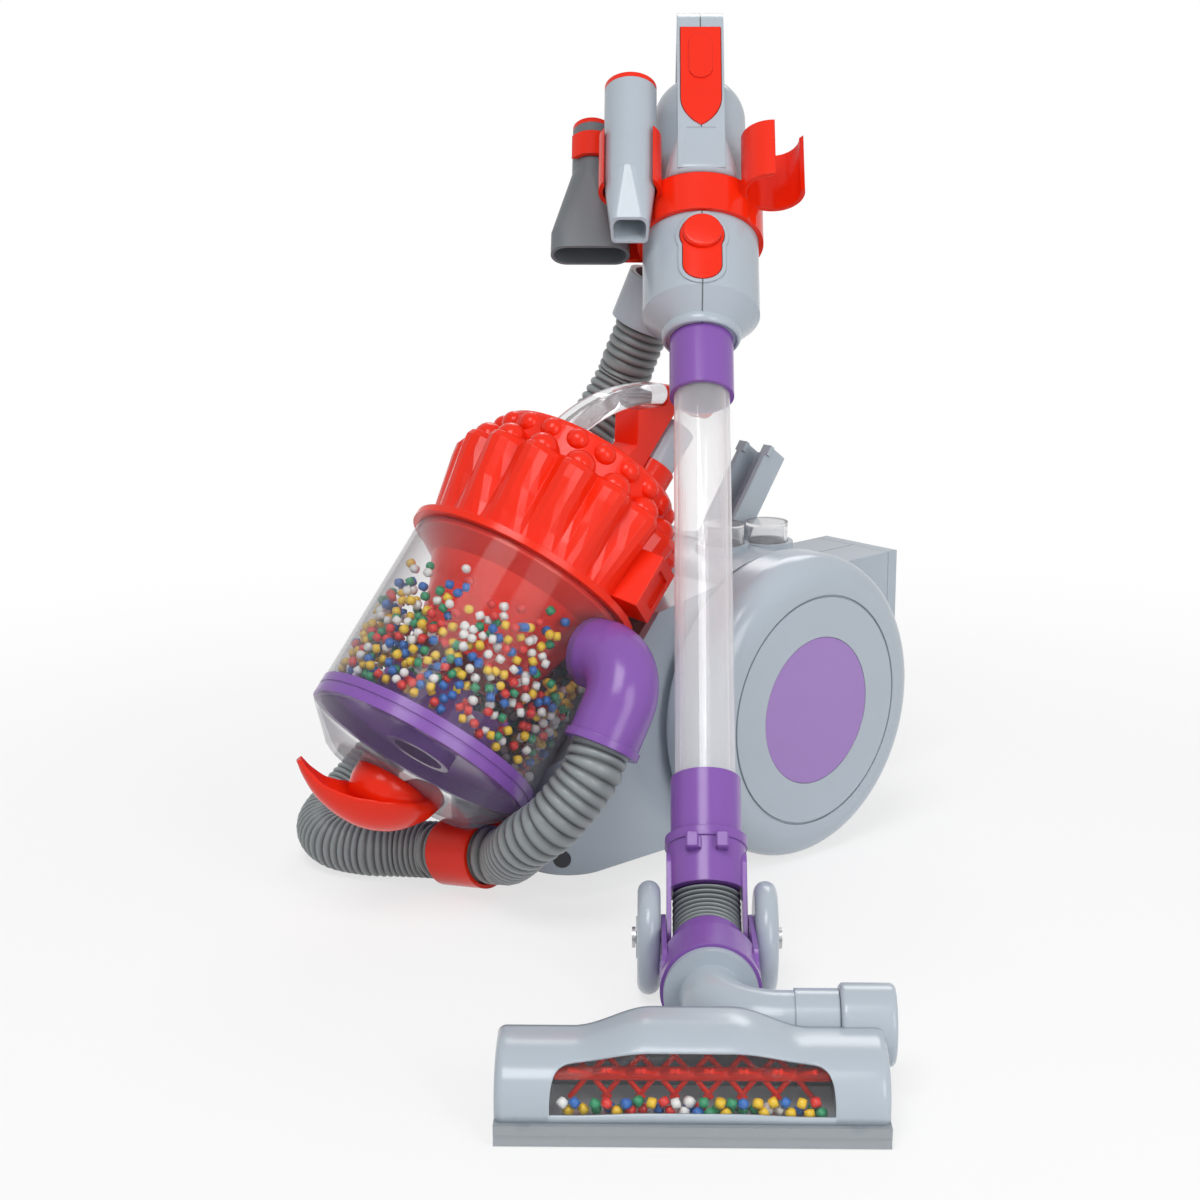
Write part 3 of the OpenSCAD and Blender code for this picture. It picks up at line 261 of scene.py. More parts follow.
def ribbedRubber(name, colour):
    # Flexible grey hose: painted shade in the valleys, painted highlight on the crests, dusty crests, dull
    # sheen
    finish = Finish(name)
    place = finish.place()
    crest = finish.node("ShaderNodeAttribute", {"attribute_name": "crest"}, None, "Fac")
    dust = finish.noise(place, scale=120.0, detail=6.0, rough=0.7)
    fine = finish.noise(place, scale=1900.0, detail=2.0)
    dusty = tint([c + rubber["dustLift"] for c in colour], 1.0)
    valleyShade, ridgeHighlight = tint(colour, rubber["valleyShade"]), tint(colour, rubber["crest"])
    # Painted shade in the rib valleys, painted highlight on the rib crests
    tone = finish.mix(crest ** rubber["sharpness"], valleyShade, ridgeHighlight)
    tone = finish.mix(dust * crest * rubber["dust"], tone, dusty)
    roughness = rubber["rough"] - crest * rubber["crestShine"] + (dust - 0.5) * rubber["dustRough"]
    bump = finish.node("ShaderNodeBump", None, {
        "Height": fine, "Strength": rubber["grain"], "Distance": rubber["grainDepth"]})
    return finish.principled({"Base Color": tone, "Roughness": roughness, "Normal": bump})


steel = {"dark": (0.50, 0.50, 0.51, 1.0), "light": (0.66, 0.66, 0.67, 1.0), "rough": 0.22, "lineRough": 0.25,
         "lineStrength": 0.1, "lineDepth": 0.0002}


def turnedSteel(name):
    # Plain turned steel with fine lathe lines
    finish = Finish(name)
    place = finish.place()
    lines = finish.noise(finish.stretched(place, (2500.0, 90.0, 90.0)), scale=1.0, detail=3.0)
    cloud = finish.noise(place, scale=60.0, detail=4.0)
    bump = finish.node("ShaderNodeBump", None, {
        "Height": lines, "Strength": steel["lineStrength"], "Distance": steel["lineDepth"]})
    return finish.principled({
        "Base Color": finish.mix(cloud, steel["dark"], steel["light"]), "Metallic": 1.0,
        "Roughness": lines * steel["lineRough"] + steel["rough"], "Normal": bump})


beadLook = {"dull": (0.86, 0.86, 0.86, 1.0), "bright": (1.0, 1.0, 1.0, 1.0), "rough": 0.25, "cloudRough": 0.2,
            "stops": [(0.0, (0.80, 0.03, 0.02)), (0.2, (0.95, 0.62, 0.02)), (0.48, (0.02, 0.32, 0.14)),
                      (0.64, (0.02, 0.16, 0.55)), (0.79, (0.88, 0.88, 0.86))]}


def beadPlastic(name):
    # One finish for all beads; the colour follows each bead's own number
    finish = Finish(name)
    pick = finish.node("ShaderNodeAttribute", {"attribute_name": "beadTone"}, None, "Fac")
    cloud = finish.noise(finish.place(), scale=700.0, detail=2.0)
    ramp = {"interpolation": "CONSTANT", "stops": beadLook["stops"]}
    tone = finish.node("ShaderNodeValToRGB", ramp, {"Fac": pick}, "Color")
    shade = finish.mix(cloud, beadLook["dull"], beadLook["bright"])
    return finish.principled({
        "Base Color": finish.mix(1.0, tone, shade, "MULTIPLY"),
        "Roughness": cloud * beadLook["cloudRough"] + beadLook["rough"]})


greyTone = (0.435, 0.495, 0.555)
greyLook = {"rough": 0.2, "worn": 0.12, "gloss": 0.5}
finishes = {
    "grey": mouldedPlastic("greyPlastic", greyTone, **greyLook),
    "red": mouldedPlastic("redPlastic", (0.88, 0.023, 0.004), rough=0.2, worn=0.1, gloss=0.28),
    "purple": mouldedPlastic("purplePlastic", (0.235, 0.095, 0.410), rough=0.22, worn=0.2),
    "clear": clearPlastic("clearPlastic", (0.92, 0.92, 0.94), thin=0.19, edge=0.8),
    "hose_grey": ribbedRubber("hoseRubber", (0.235, 0.265, 0.270)),
    "dark_grey": mouldedPlastic("darkPlastic", (0.150, 0.165, 0.180), rough=0.36),
    "steel": turnedSteel("turnedSteel"),
    # Near-black: the cells' own colour, also used as the painted shade of the hole on the nose
    "cells": mouldedPlastic("cellSleeve", (0.03, 0.033, 0.04), rough=0.3),
    "beads": beadPlastic("beadPlastic"),
}
# Single parts that differ from their slot's plain finish
wandSide = (fromWand(1, 0, 0) - fromWand(0, 0, 0)).normalized()
handleGrey = mouldedPlastic("handleGrey", greyTone, seam=(fromWand(0, 0, 0), wandSide), **greyLook)
bodyGrey = mouldedPlastic("bodyGrey", greyTone, seam=(fromAxle(0, 0, 0), (1, 0, 0)), **greyLook)
# Hub discs: a paler purple than the rest, lightened further by painted sheen
discPurple = mouldedPlastic("discPurple", (0.360, 0.215, 0.530), rough=0.4, worn=0.2)
smokedBin = clearPlastic("smokedBin", (0.30, 0.30, 0.34), thin=0.045, edge=0.6)
solidClear = clearPlastic("solidClear", (0.93, 0.935, 0.95), rough=0.02, solid=True)
smokedSole = clearPlastic("smokedSole", (0.33, 0.37, 0.40), rough=0.12, thin=0.75, edge=0.2)
single = {"handle_left": handleGrey, "handle_right": handleGrey, "shell_left": bodyGrey,
          "shell_right": bodyGrey, "hub_disc_left": discPurple, "hub_disc_right": discPurple,
          "bin_cylinder": smokedBin, "bin_base": smokedBin, "sole": smokedSole, "bin_handle": solidClear,
          "power_button": solidClear, "light_button": solidClear}
for part in frame["record"]["subparts"]:
    mesh = nodes[part["node"]].data
    mesh.materials.clear()
    mesh.materials.append(single.get(part["node"]) or finishes[part["material_slot"]])
print("finishes set:", len(finishes))


def newPiece(name, mesh, slotName, smooth=True):
    mesh.materials.clear()
    mesh.materials.append(finishes[slotName])
    for polygon in mesh.polygons:
        polygon.use_smooth = smooth
    piece = added(name, mesh)
    return piece


def plainMesh(name, points, faces=()):
    mesh = bpy.data.meshes.new(name)
    mesh.from_pydata([tuple(p) for p in points], [], faces)
    return mesh


def facedOut(mesh, weld=0.0):  # turns all faces outwards, after welding points nearer than weld
    work = bmesh.new()
    work.from_mesh(mesh)
    if weld:
        bmesh.ops.remove_doubles(work, verts=work.verts, dist=weld)
    bmesh.ops.recalc_face_normals(work, faces=work.faces)
    work.to_mesh(mesh)
    work.free()
    return mesh


def applied(holder, name):  # the holder's mesh after its modifiers; the holder itself goes
    made = bpy.data.meshes.new_from_object(holder.evaluated_get(bpy.context.evaluated_depsgraph_get()))
    made.name = name
    bpy.data.objects.remove(holder)
    return made


def circle(sides):  # points of a circle of radius 1
    return [(math.cos(2 * math.pi * k / sides), math.sin(2 * math.pi * k / sides)) for k in range(sides)]


def eased(t):
    return t * t * (3 - 2 * t)


def smoothRoute(points, step, between=24):  # a curve through the points, sampled evenly by length
    fine = []
    for i in range(len(points) - 1):
        b, c = points[i], points[i + 1]
        a = points[i - 1] if i > 0 else 2 * b - c
        d = points[i + 2] if i < len(points) - 2 else 2 * c - b
        for k in range(between):
            t = k / between
            fine.append(0.5 * (2 * b + (c - a) * t + (2 * a - 5 * b + 4 * c - d) * t ** 2
                               + (3 * b - a - 3 * c + d) * t ** 3))
    fine.append(points[-1])
    lengths = [0.0]
    for p, q in zip(fine, fine[1:]):
        lengths.append(lengths[-1] + (q - p).length)
    count = max(2, round(lengths[-1] / step))
    out, j = [], 0
    for i in range(count + 1):
        want = lengths[-1] * i / count
        while j < len(fine) - 2 and lengths[j + 1] < want:
            j += 1
        span = lengths[j + 1] - lengths[j]
        out.append(fine[j].lerp(fine[j + 1], (want - lengths[j]) / span if span else 0.0))
    return out, lengths[-1]


def sweptSleeve(name, route, radii, slotName, sides, wall):
    # A tube along the route with its own radius at each point, and a bore; "crest" is stored for the finish
    count = len(route)
    ways = [(route[min(i + 1, count - 1)] - route[max(i - 1, 0)]).normalized() for i in range(count)]
    across = ways[0].orthogonal().normalized()
    axes = []
    for way in ways:
        across = (across - way * across.dot(way)).normalized()
        axes.append((across.copy(), way.cross(across)))
    low, high = min(radii), max(radii)
    points, crest, faces = [], [], []
    for outer in (True, False):
        first = len(points)
        for place, radius, (u, v) in zip(route, radii, axes):
            reach = radius if outer else low - wall
            points += [place + reach * (c * u + s * v) for c, s in circle(sides)]
            crest += [(radius - low) / (high - low) if outer else 0.0] * sides
        for i in range(count - 1):
            for k in range(sides):
                a, b = first + i * sides + k, first + i * sides + (k + 1) % sides
                faces.append((a, b, b + sides, a + sides) if outer else (a, a + sides, b + sides, b))
    bore, end = count * sides, (count - 1) * sides
    for k in range(sides):
        n = (k + 1) % sides
        faces.append((k, bore + k, bore + n, n))
        faces.append((end + k, end + n, bore + end + n, bore + end + k))
    mesh = plainMesh(name, points, faces)
    mesh.attributes.new("crest", "FLOAT", "POINT").data.foreach_set("value", crest)
    mesh.validate()
    return newPiece(name, mesh, slotName)


# Hose on its solid's route: ribs drawn apart before the clip, close together on the floor loop.
# The skin is in metres, and the places are in the solids' millimetres
hose = {"radius": 0.0155, "depth": 0.0021, "sharpness": 0.28, "sides": 24, "wall": 0.0012, "sample": 0.0005,
        "stretched": 0.0056, "loop": 0.0037, "rising": 0.0050, "easing": 160, "clip": (4, -176, 23),
        "elbow": (90, -136, 136), "elbowLean": 32.3, "leg": 46, "socket": 14, "grip": (-16, 18, 405),
        "gripWay": (-0.356, -0.157, -0.921), "cuff": 42, "spacing": 15.5,
        "turnWay": (-0.6, 0.5, 0.6), "turn": 0.199}
elbowWay = turned((0, 0, -1), "X", -hose["elbowLean"])
cuffWay = Vector(hose["gripWay"]).normalized()


def onElbow(l):  # l millimetres down the elbow's leg
    return fromAxle(*[start + way * l for start, way in zip(hose["elbow"], elbowWay)])


def onCuff(l):  # l millimetres down the cuff at the grip
    return fromWand(*hose["grip"]) + cuffWay * l / 1000


hoseWay = [(80, -183, 62), (64, -187, 48), (47, -181, 36), (31, -173, 27.5), (22, -174, 26),
           (-14, -178, 20), (-23, -179, 18.5), (-38, -186, 17), (-55, -197, 16), (-77, -203, 16),
           (-97, -195, 18), (-107, -175, 25), (-106, -152, 42), (-102, -130, 66), (-96, -112, 96),
           (-89, -94, 130), (-81, -71, 165), (-72, -46, 196), (-63, -24, 224)]
hosePoints = [onElbow(hose["leg"] - hose["socket"] + l * hose["spacing"]) for l in (0, 1, 2)]
hosePoints += [fromAxle(*p) for p in hoseWay]
hosePoints += [onCuff(hose["cuff"] - hose["socket"] + l * hose["spacing"]) for l in (3.3, 2.3, 1.3, 0)]
hoseRoute, hoseLength = smoothRoute(hosePoints, hose["sample"])


def alongHose(point):
    return min(range(len(hoseRoute)), key=lambda i: (hoseRoute[i] - point).length)


clipPlace, loopPlace = alongHose(fromAxle(*hose["clip"])), alongHose(fromAxle(-107, -175, 25))
hoseRadii, phase = [], 0.0
for i in range(len(hoseRoute)):
    swell = 0.5 - 0.5 * math.cos(2 * math.pi * phase)
    hoseRadii.append(hose["radius"] - hose["depth"] * (1 - swell ** hose["sharpness"]))
    rise = min(1.0, max(0.0, (i - loopPlace) / hose["easing"]))
    pitch = hose["stretched"] if i < clipPlace else hose["loop"] + (hose["rising"] - hose["loop"]) * rise
    phase += hoseLength / len(hoseRoute) / pitch
hosePiece = sweptSleeve("hoseRibbed", hoseRoute, hoseRadii, "hose_grey", hose["sides"], hose["wall"])
hoseTurn = Vector(hose["turnWay"]) * hose["turn"]
fromAxle(-107, -175, 25)
fromAxle(-107, -175, 25) + hoseTurn
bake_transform(hosePiece)
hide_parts("hose")
2 * hose["radius"]
hoseRoute[::6] + [hoseRoute[-1]]
print("hose: %.3f m" % hoseLength)

# Ribbed sleeve over the neck's hinge: one arc that touches both straight runs
sleeve = {"reach": 22.0, "radius": 0.0165, "depth": 0.0026, "ribs": 11, "sharpness": 0.4, "steps": 110,
          "sides": 48, "wall": 0.001}
bend = math.radians(90 - layout["wandLean"])
arcRadius = sleeve["reach"] / math.tan(bend / 2)
arc, sleeveRadii = [], []
for i in range(sleeve["steps"] + 1):
    a = bend * i / sleeve["steps"]
    arc.append(fromHead(hingeX, hingeY - sleeve["reach"] + arcRadius * math.sin(a),
                        hingeZ + arcRadius * (1 - math.cos(a))))
    swell = 0.5 - 0.5 * math.cos(2 * math.pi * i * sleeve["ribs"] / sleeve["steps"])
    sleeveRadii.append(sleeve["radius"] - sleeve["depth"] * (1 - swell ** sleeve["sharpness"]))
sleevePiece = sweptSleeve("neckSleeve", arc, sleeveRadii, "hose_grey", sleeve["sides"], sleeve["wall"])
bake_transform(sleevePiece)
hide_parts("bellows")
print("neck sleeve made")


def grown(name, base, slotName, values, plan):
    # Builds a Geometry Nodes tree with named inputs, runs it on the base mesh and makes the result a piece
    holder = added(name + "Base", base)
    graph = Graph(bpy.data.node_groups.new(name + "Tree", "GeometryNodeTree"))
    interface = graph.tree.interface
    interface.new_socket("Geometry", in_out="INPUT", socket_type="NodeSocketGeometry")
    kinds = {float: "NodeSocketFloat", int: "NodeSocketInt", tuple: "NodeSocketVector"}
    sockets = {key: interface.new_socket(key, in_out="INPUT", socket_type=kinds[type(value)])
               for key, value in values.items()}
    interface.new_socket("Geometry", in_out="OUTPUT", socket_type="NodeSocketGeometry")
    given = {key: graph.node("NodeGroupInput", out=key) for key in ("Geometry", *values)}
    real = graph.node("GeometryNodeRealizeInstances", None, {"Geometry": plan(graph, given)})
    painted = graph.node("GeometryNodeSetMaterial", None, {"Geometry": real, "Material": finishes[slotName]})
    graph.node("NodeGroupOutput", None, {0: painted})
    modifier = holder.modifiers.new(name, "NODES")
    modifier.node_group = graph.tree
    for key, value in values.items():
        modifier[sockets[key].identifier] = value
    return newPiece(name, applied(holder, name), slotName)


# A bead: a short rounded pellet, its length as a multiple of its radius
pellet = {"length": 1.7, "sides": 10, "crease": 0.55, "turn": 6.28}


def pelletPlan(graph, given):  # one pellet on every point, turned and toned by a fixed seed
    stub = graph.node("GeometryNodeMeshCylinder", None, {
        "Vertices": pellet["sides"], "Radius": given["Pellet radius"],
        "Depth": given["Pellet radius"] * pellet["length"]})
    rounded = graph.node("GeometryNodeSubdivisionSurface", None,
                         {"Mesh": stub, "Level": 1, "Edge Crease": pellet["crease"]})
    turn = graph.node("FunctionNodeRandomValue", {"data_type": "FLOAT_VECTOR"},
                      {"Max": (pellet["turn"],) * 3, "Seed": given["Seed"]})
    tone = graph.node("FunctionNodeRandomValue", {"data_type": "FLOAT"}, {"Seed": given["Seed"]}, 1)
    noted = graph.node("GeometryNodeStoreNamedAttribute", {"data_type": "FLOAT", "domain": "POINT"},
                       {"Geometry": given["Geometry"], "Name": "beadTone", "Value": tone})
    return graph.node("GeometryNodeInstanceOnPoints", None,
                      {"Points": noted, "Instance": rounded, "Rotation": turn})


def spaced(wanted, gap, pick, seed, tries=40000):  # random places that keep a gap between them
    draw = random.Random(seed)
    cells, kept = {}, []
    for _ in range(tries):
        if len(kept) >= wanted:
            break
        p = pick(draw)
        if p is None:
            continue
        key = tuple(math.floor(c / gap) for c in p)
        near = [q for dx in (-1, 0, 1) for dy in (-1, 0, 1) for dz in (-1, 0, 1)
                for q in cells.get((key[0] + dx, key[1] + dy, key[2] + dz), ())]
        if all((p - q).length > gap for q in near):
            cells.setdefault(key, []).append(p)
            kept.append(p)
    return kept


def beadPiece(name, beads, pick):
    cloud = plainMesh(name + "Places", spaced(beads["count"], beads["gap"], pick, beads["seed"]))
    return grown(name, cloud, "beads", {"Pellet radius": beads["radius"], "Seed": beads["seed"]}, pelletPlan)


# Beads flung round inside the bin, in a band that sways round the wall
binBeads = {"count": 760, "radius": 0.0024, "gap": 0.0046, "seed": 11, "inner": 49.5, "outer": 57.2,
            "low": 4, "high": 80, "band": 34, "sway": 12, "lag": 0.6, "spread": 22}
inlet = {"from": 38, "behind": 19, "half": 22, "above": 50}


def binSpot(draw):
    angle = draw.uniform(0, 2 * math.pi)
    r = math.sqrt(draw.uniform(binBeads["inner"] ** 2, binBeads["outer"] ** 2))
    s = draw.uniform(binBeads["low"], binBeads["high"])
    band = binBeads["band"] + binBeads["sway"] * math.sin(angle + binBeads["lag"])
    if draw.random() > math.exp(-((s - band) / binBeads["spread"]) ** 2):
        return None
    x, w = r * math.cos(angle), r * math.sin(angle)
    if x > inlet["from"] and abs(w - inlet["behind"]) < inlet["half"] and s > inlet["above"]:
        return None  # keeps clear of the inlet
    return fromBin(x, w, s)


binPiece = beadPiece("binBeadSwirl", binBeads, binSpot)
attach(binPiece, "canister")
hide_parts("bin_beads")

# Beads lying behind the head's window, in two layers of (back, height), three in four on the lower one
headBeads = {"count": 95, "radius": 0.0024, "gap": 0.0047, "seed": 5, "half": 54, "front": 7.9,
             "layers": ((13.0, 11.8), (10.3, 15.8))}


def headSpot(draw):
    back, height = headBeads["layers"][draw.choice((0, 0, 0, 1))]
    x = draw.uniform(-headBeads["half"], headBeads["half"])
    return fromHead(x, draw.uniform(headBeads["front"], back), height)


headPiece = beadPiece("headBeadPile", headBeads, headSpot)
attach(headPiece, "floor_head")
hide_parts("head_beads")
print("beads made")

# Knuckles that round off the top of every flute of the crown
knuckles = {
    "crownKnuckles": {"Count": 16, "Ring radius": 0.0560, "Size": (0.0078, 0.0086, 0.0080),
                      "Height": 0.1508},
    "crownTopKnuckles": {"Count": 20, "Ring radius": 0.0495, "Size": (0.0060, 0.0066, 0.0062),
                         "Height": 0.1645}}


def knucklePlan(graph, given):
    ring = graph.node("GeometryNodeMeshCircle", None,
                      {"Vertices": given["Count"], "Radius": given["Ring radius"]})
    ball = graph.node("GeometryNodeMeshUVSphere", None, {"Segments": 20, "Rings": 12, "Radius": 1.0})
    knuckle = graph.node("GeometryNodeTransform", None, {"Geometry": ball, "Scale": given["Size"]})
    position = graph.node("GeometryNodeInputPosition")
    outward = graph.node("FunctionNodeAlignEulerToVector", {"axis": "X", "pivot_axis": "Z"},
                         {"Vector": position})
    placed = graph.node("GeometryNodeInstanceOnPoints", None,
                        {"Points": ring, "Instance": knuckle, "Rotation": outward})
    whole = graph.node("GeometryNodeRealizeInstances", None, {"Geometry": placed})
    lift = graph.node("ShaderNodeCombineXYZ", None, {"Z": given["Height"]})
    raised = graph.node("GeometryNodeTransform", None, {"Geometry": whole, "Translation": lift})
    return graph.node("GeometryNodeTransform", None, {
        "Geometry": raised, "Translation": tuple(fromBin(0, 0, 0)),
        "Rotation": (math.radians(-layout["binLean"]), 0, 0)})


for name, row in knuckles.items():
    knucklePiece = grown(name, bpy.data.meshes.new(name + "Start"), "red", row, knucklePlan)
    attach(knucklePiece, "canister")
print("crown knuckles made")


def lofted(name, loops):  # closed skin through closed loops of points
    count = len(loops[0])
    faces = [tuple(range(count - 1, -1, -1)), tuple((len(loops) - 1) * count + k for k in range(count))]
    for i in range(len(loops) - 1):
        for k in range(count):
            a, b = i * count + k, i * count + (k + 1) % count
            faces.append((a, b, b + count, a + count))
    return facedOut(plainMesh(name, [p for loop in loops for p in loop], faces))


def loftedPiece(name, loops, slotName, smooth=True):
    return newPiece(name, lofted(name, loops), slotName, smooth)


# Flared foot of the grip, where it runs out into the barrel; a run is a change from its low to its high end
gripFoot = {"low": 424.7, "high": 453.5, "wide": 20.5, "narrow": 13.1, "front": -36.5, "frontRun": 0.45,
            "back": -8, "backRun": -12, "power": 4.0, "powerRun": 4.0, "lead": 1.8, "leadEnd": 0.06,
            "steps": 18, "sides": 28}
loops = []
for i in range(gripFoot["steps"] + 1):
    t = i / gripFoot["steps"]
    half = gripFoot["wide"] + (gripFoot["narrow"] - gripFoot["wide"]) * eased(t)
    back = gripFoot["back"] + gripFoot["backRun"] * eased(t)
    power = gripFoot["power"] + gripFoot["powerRun"] * eased(t)
    lead = gripFoot["lead"] * (1 - t / gripFoot["leadEnd"]) if t < gripFoot["leadEnd"] else 0
    front = gripFoot["front"] + gripFoot["frontRun"] * t + lead
    s = gripFoot["low"] + (gripFoot["high"] - gripFoot["low"]) * t
    loop = []
    for k in range(gripFoot["sides"] + 1):
        a = math.pi * (k / gripFoot["sides"] - 0.5)
        x = half * math.copysign(abs(math.sin(a)) ** (2 / power), a)
        loop.append(fromWand(x, back + (front - back) * max(0.0, math.cos(a)) ** (2 / power), s))
    loops.append(loop)
footPiece = loftedPiece("gripFoot", loops, "grey")
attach(footPiece, "wand")

# Raised round cap at the top of the release button
releaseCap = {"centre": 385.5, "radius": 10.6, "from": -31.0, "to": -36.2, "round": 1.6, "roundSteps": 6,
              "sides": 48}
straight = (releaseCap["from"], releaseCap["to"] + releaseCap["round"])
rings = [(depth, releaseCap["radius"]) for depth in straight]
for i in range(1, releaseCap["roundSteps"] + 1):
    a = math.pi / 2 * i / releaseCap["roundSteps"]
    rings.append((releaseCap["to"] + releaseCap["round"] * (1 - math.sin(a)),
                  releaseCap["radius"] - releaseCap["round"] * (1 - math.cos(a))))
loops = [[fromWand(r * x, depth, releaseCap["centre"] + r * z) for x, z in circle(releaseCap["sides"])]
         for depth, r in rings]
capPiece = loftedPiece("releaseCap", loops, "red")
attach(capPiece, "barrel_release")
print("handle pieces made")

# Rolled lip at the barrel's lower end
barrelLip = {"low": 337.2, "step": 0.35, "steps": 20, "radius": 0.0195, "swell": 0.0022, "reach": 10.5,
             "sides": 56, "wall": 0.0012}
lipRoute, lipRadii = [], []
for i in range(barrelLip["steps"] + 1):
    off = (i - barrelLip["steps"] / 2) / barrelLip["reach"]
    lipRoute.append(fromWand(0, 0, barrelLip["low"] + barrelLip["step"] * i))
    lipRadii.append(barrelLip["radius"] + barrelLip["swell"] * math.sqrt(max(0.0, 1 - off ** 2)))
lipPiece = sweptSleeve("barrelLip", lipRoute, lipRadii, "grey", barrelLip["sides"], barrelLip["wall"])
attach(lipPiece, "wand")

# Lugs on the front of the upper fork
lug = {"wide": 6.2, "front": -23.0, "back": -17.0, "low": 37.5, "high": 46.0, "round": 0.8, "apart": 7.2}
for side, place in (("Left", -lug["apart"]), ("Right", lug["apart"])):
    loops = []
    for s, inset in ((lug["low"], lug["round"]), (lug["low"] + lug["round"], 0),
                     (lug["high"] - lug["round"], 0), (lug["high"], lug["round"])):
        half, front = lug["wide"] / 2 - inset, lug["front"] + inset
        outline = [(-half, lug["back"]), (-half, front + lug["round"]), (lug["round"] - half, front)]
        outline += [(-x, y) for x, y in reversed(outline)]
        loops.append([fromWand(place + x, y, s) for x, y in outline])
    lugPiece = loftedPiece("forkLug" + side, loops, "purple", False)
    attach(lugPiece, "wand")

# Thin dark disc of painted shade that stands for the round hole low on the nose; its rows are (lift, part of
# the radius)
noseHole = {"place": (45.31, -146.44, 23.0), "way": (0.617, -0.787, 0.0), "radius": 0.0048, "sides": 40,
            "rows": ((-0.0008, 1.0), (0.00035, 1.0), (0.00035, 0.86), (0.0003, 0.5))}
out = Vector(noseHole["way"]).normalized()
flat = upward.cross(out).normalized()
holeMiddle = fromAxle(*noseHole["place"])
loops = [[holeMiddle + out * lift + noseHole["radius"] * r * (x * flat + z * upward)
          for x, z in circle(noseHole["sides"])] for lift, r in noseHole["rows"]]
# The near-black cell finish paints the shade inside the hole
holeShadePiece = loftedPiece("noseHole", loops, "cells")
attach(holeShadePiece, "canister")

# Scoop under the bin: a foot below the base and a spout that runs forward into a turned-up lip.
# The spout's rows are (place, half width, half thickness, curl), the foot's (s, w, radius) on the bin's axes
scoop = {"sides": 44, "sample": 1.5, "squareness": 0.8,
         "spout": (((0, -199, 60), 13, 8.0, 2), ((0, -212, 56), 19.5, 8.5, 6), ((0, -226, 54), 22, 7.5, 11),
                   ((-2, -240, 56.5), 21, 6.0, 13), ((-5, -252, 63), 18.5, 4.5, 12),
                   ((-9, -262, 72.5), 14.5, 3.2, 8.5), ((-12.5, -268, 83), 9.5, 2.2, 4.5),
                   ((-14.5, -271, 91), 4.0, 1.2, 1.5)),
         "foot": ((-30.2, -6, 19.4), (-30.6, -6, 20.0), (-37, -6.5, 19.5), (-43, -8, 17), (-48, -10, 12))}
spout = scoop["spout"]
centres = smoothRoute([Vector(row[0]) for row in spout], scoop["sample"])[0]
loops = []
for i, centre in enumerate(centres):
    t = i / (len(centres) - 1) * (len(spout) - 1)
    a, b = spout[int(t)], spout[min(int(t) + 1, len(spout) - 1)]
    half, thick, curl = [a[k] + (b[k] - a[k]) * (t - int(t)) for k in (1, 2, 3)]
    way = (centres[min(i + 1, len(centres) - 1)] - centres[max(i - 1, 0)]).normalized()
    side = way.cross(upward).normalized()
    lift = side.cross(way)
    loop = []
    for c, s in circle(scoop["sides"]):
        x = half * math.copysign(abs(c) ** scoop["squareness"], c)
        loop.append(fromAxle(*(centre + side * x + lift * (thick * s + curl * (x / half) ** 2))))
    loops.append(loop)
foot = [[fromBin(r * c, w + r * s, along) for c, s in circle(scoop["sides"])]
        for along, w, r in scoop["foot"]]
scoopWork = bmesh.new()
for skin in (lofted("scoopSpout", loops), lofted("scoopFoot", foot)):
    scoopWork.from_mesh(skin)
scoopMesh = bpy.data.meshes.new("scoopCurved")
scoopWork.to_mesh(scoopMesh)
scoopWork.free()
scoopPiece = newPiece("scoopCurved", scoopMesh, "red")
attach(scoopPiece, "canister")
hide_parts("scoop")
print("scoop made")

# Floor head: smooth housing with a raised middle and an arched window; turns go from front edge to top
head = {"half": 82.5, "end": 27.0, "rise": 36.0, "back": 39.0, "rear": 41.5, "low": 9.05, "round": 4.0,
        "power": 2.8, "depth": 36.0, "shoulder": 50, "slope": 33, "opening": 59.3, "sill": 3.0, "arch": 53,
        "archDip": 8, "squareness": 16, "corner": 0.4, "rows": 22, "wall": 0.0012, "weld": 0.00001}


def headRise(x):
    return eased(min(1.0, max(0.0, (head["shoulder"] - abs(x)) / head["slope"])))


def headPoint(x, turn, sink=0.0):
    over = max(0.0, abs(x) - head["half"] + head["round"]) / head["round"]
    drop = head["round"] * (1 - math.sqrt(max(0.0, 1 - over * over))) + sink
    height = head["end"] + (head["rise"] - head["end"]) * headRise(x) - drop
    power = 2 / head["power"]
    return fromHead(x, head["back"] - (head["depth"] - drop) * max(0.0, math.cos(turn)) ** power,
                    head["low"] + height * math.sin(turn) ** power)


def windowTop(x, corner=True):
    top = math.radians(head["arch"] - head["archDip"] * headRise(x))
    across = (abs(x) / head["opening"]) ** head["squareness"]
    return top * (max(0.0, 1 - across) ** head["corner"] if corner else 1.0)


def thickened(mesh, thickness, even=True):
    holder = added(mesh.name + "Sheet", mesh)
    skin = holder.modifiers.new("wall", "SOLIDIFY")
    skin.thickness, skin.offset, skin.use_even_offset = thickness, -1.0, even
    return applied(holder, mesh.name)


def sheet(columns):  # points and faces of an open skin through columns of points
    rows = len(columns[0])
    faces = [(i * rows + k, (i + 1) * rows + k, (i + 1) * rows + k + 1, i * rows + k + 1)
             for i in range(len(columns) - 1) for k in range(rows - 1)]
    return [p for column in columns for p in column], faces


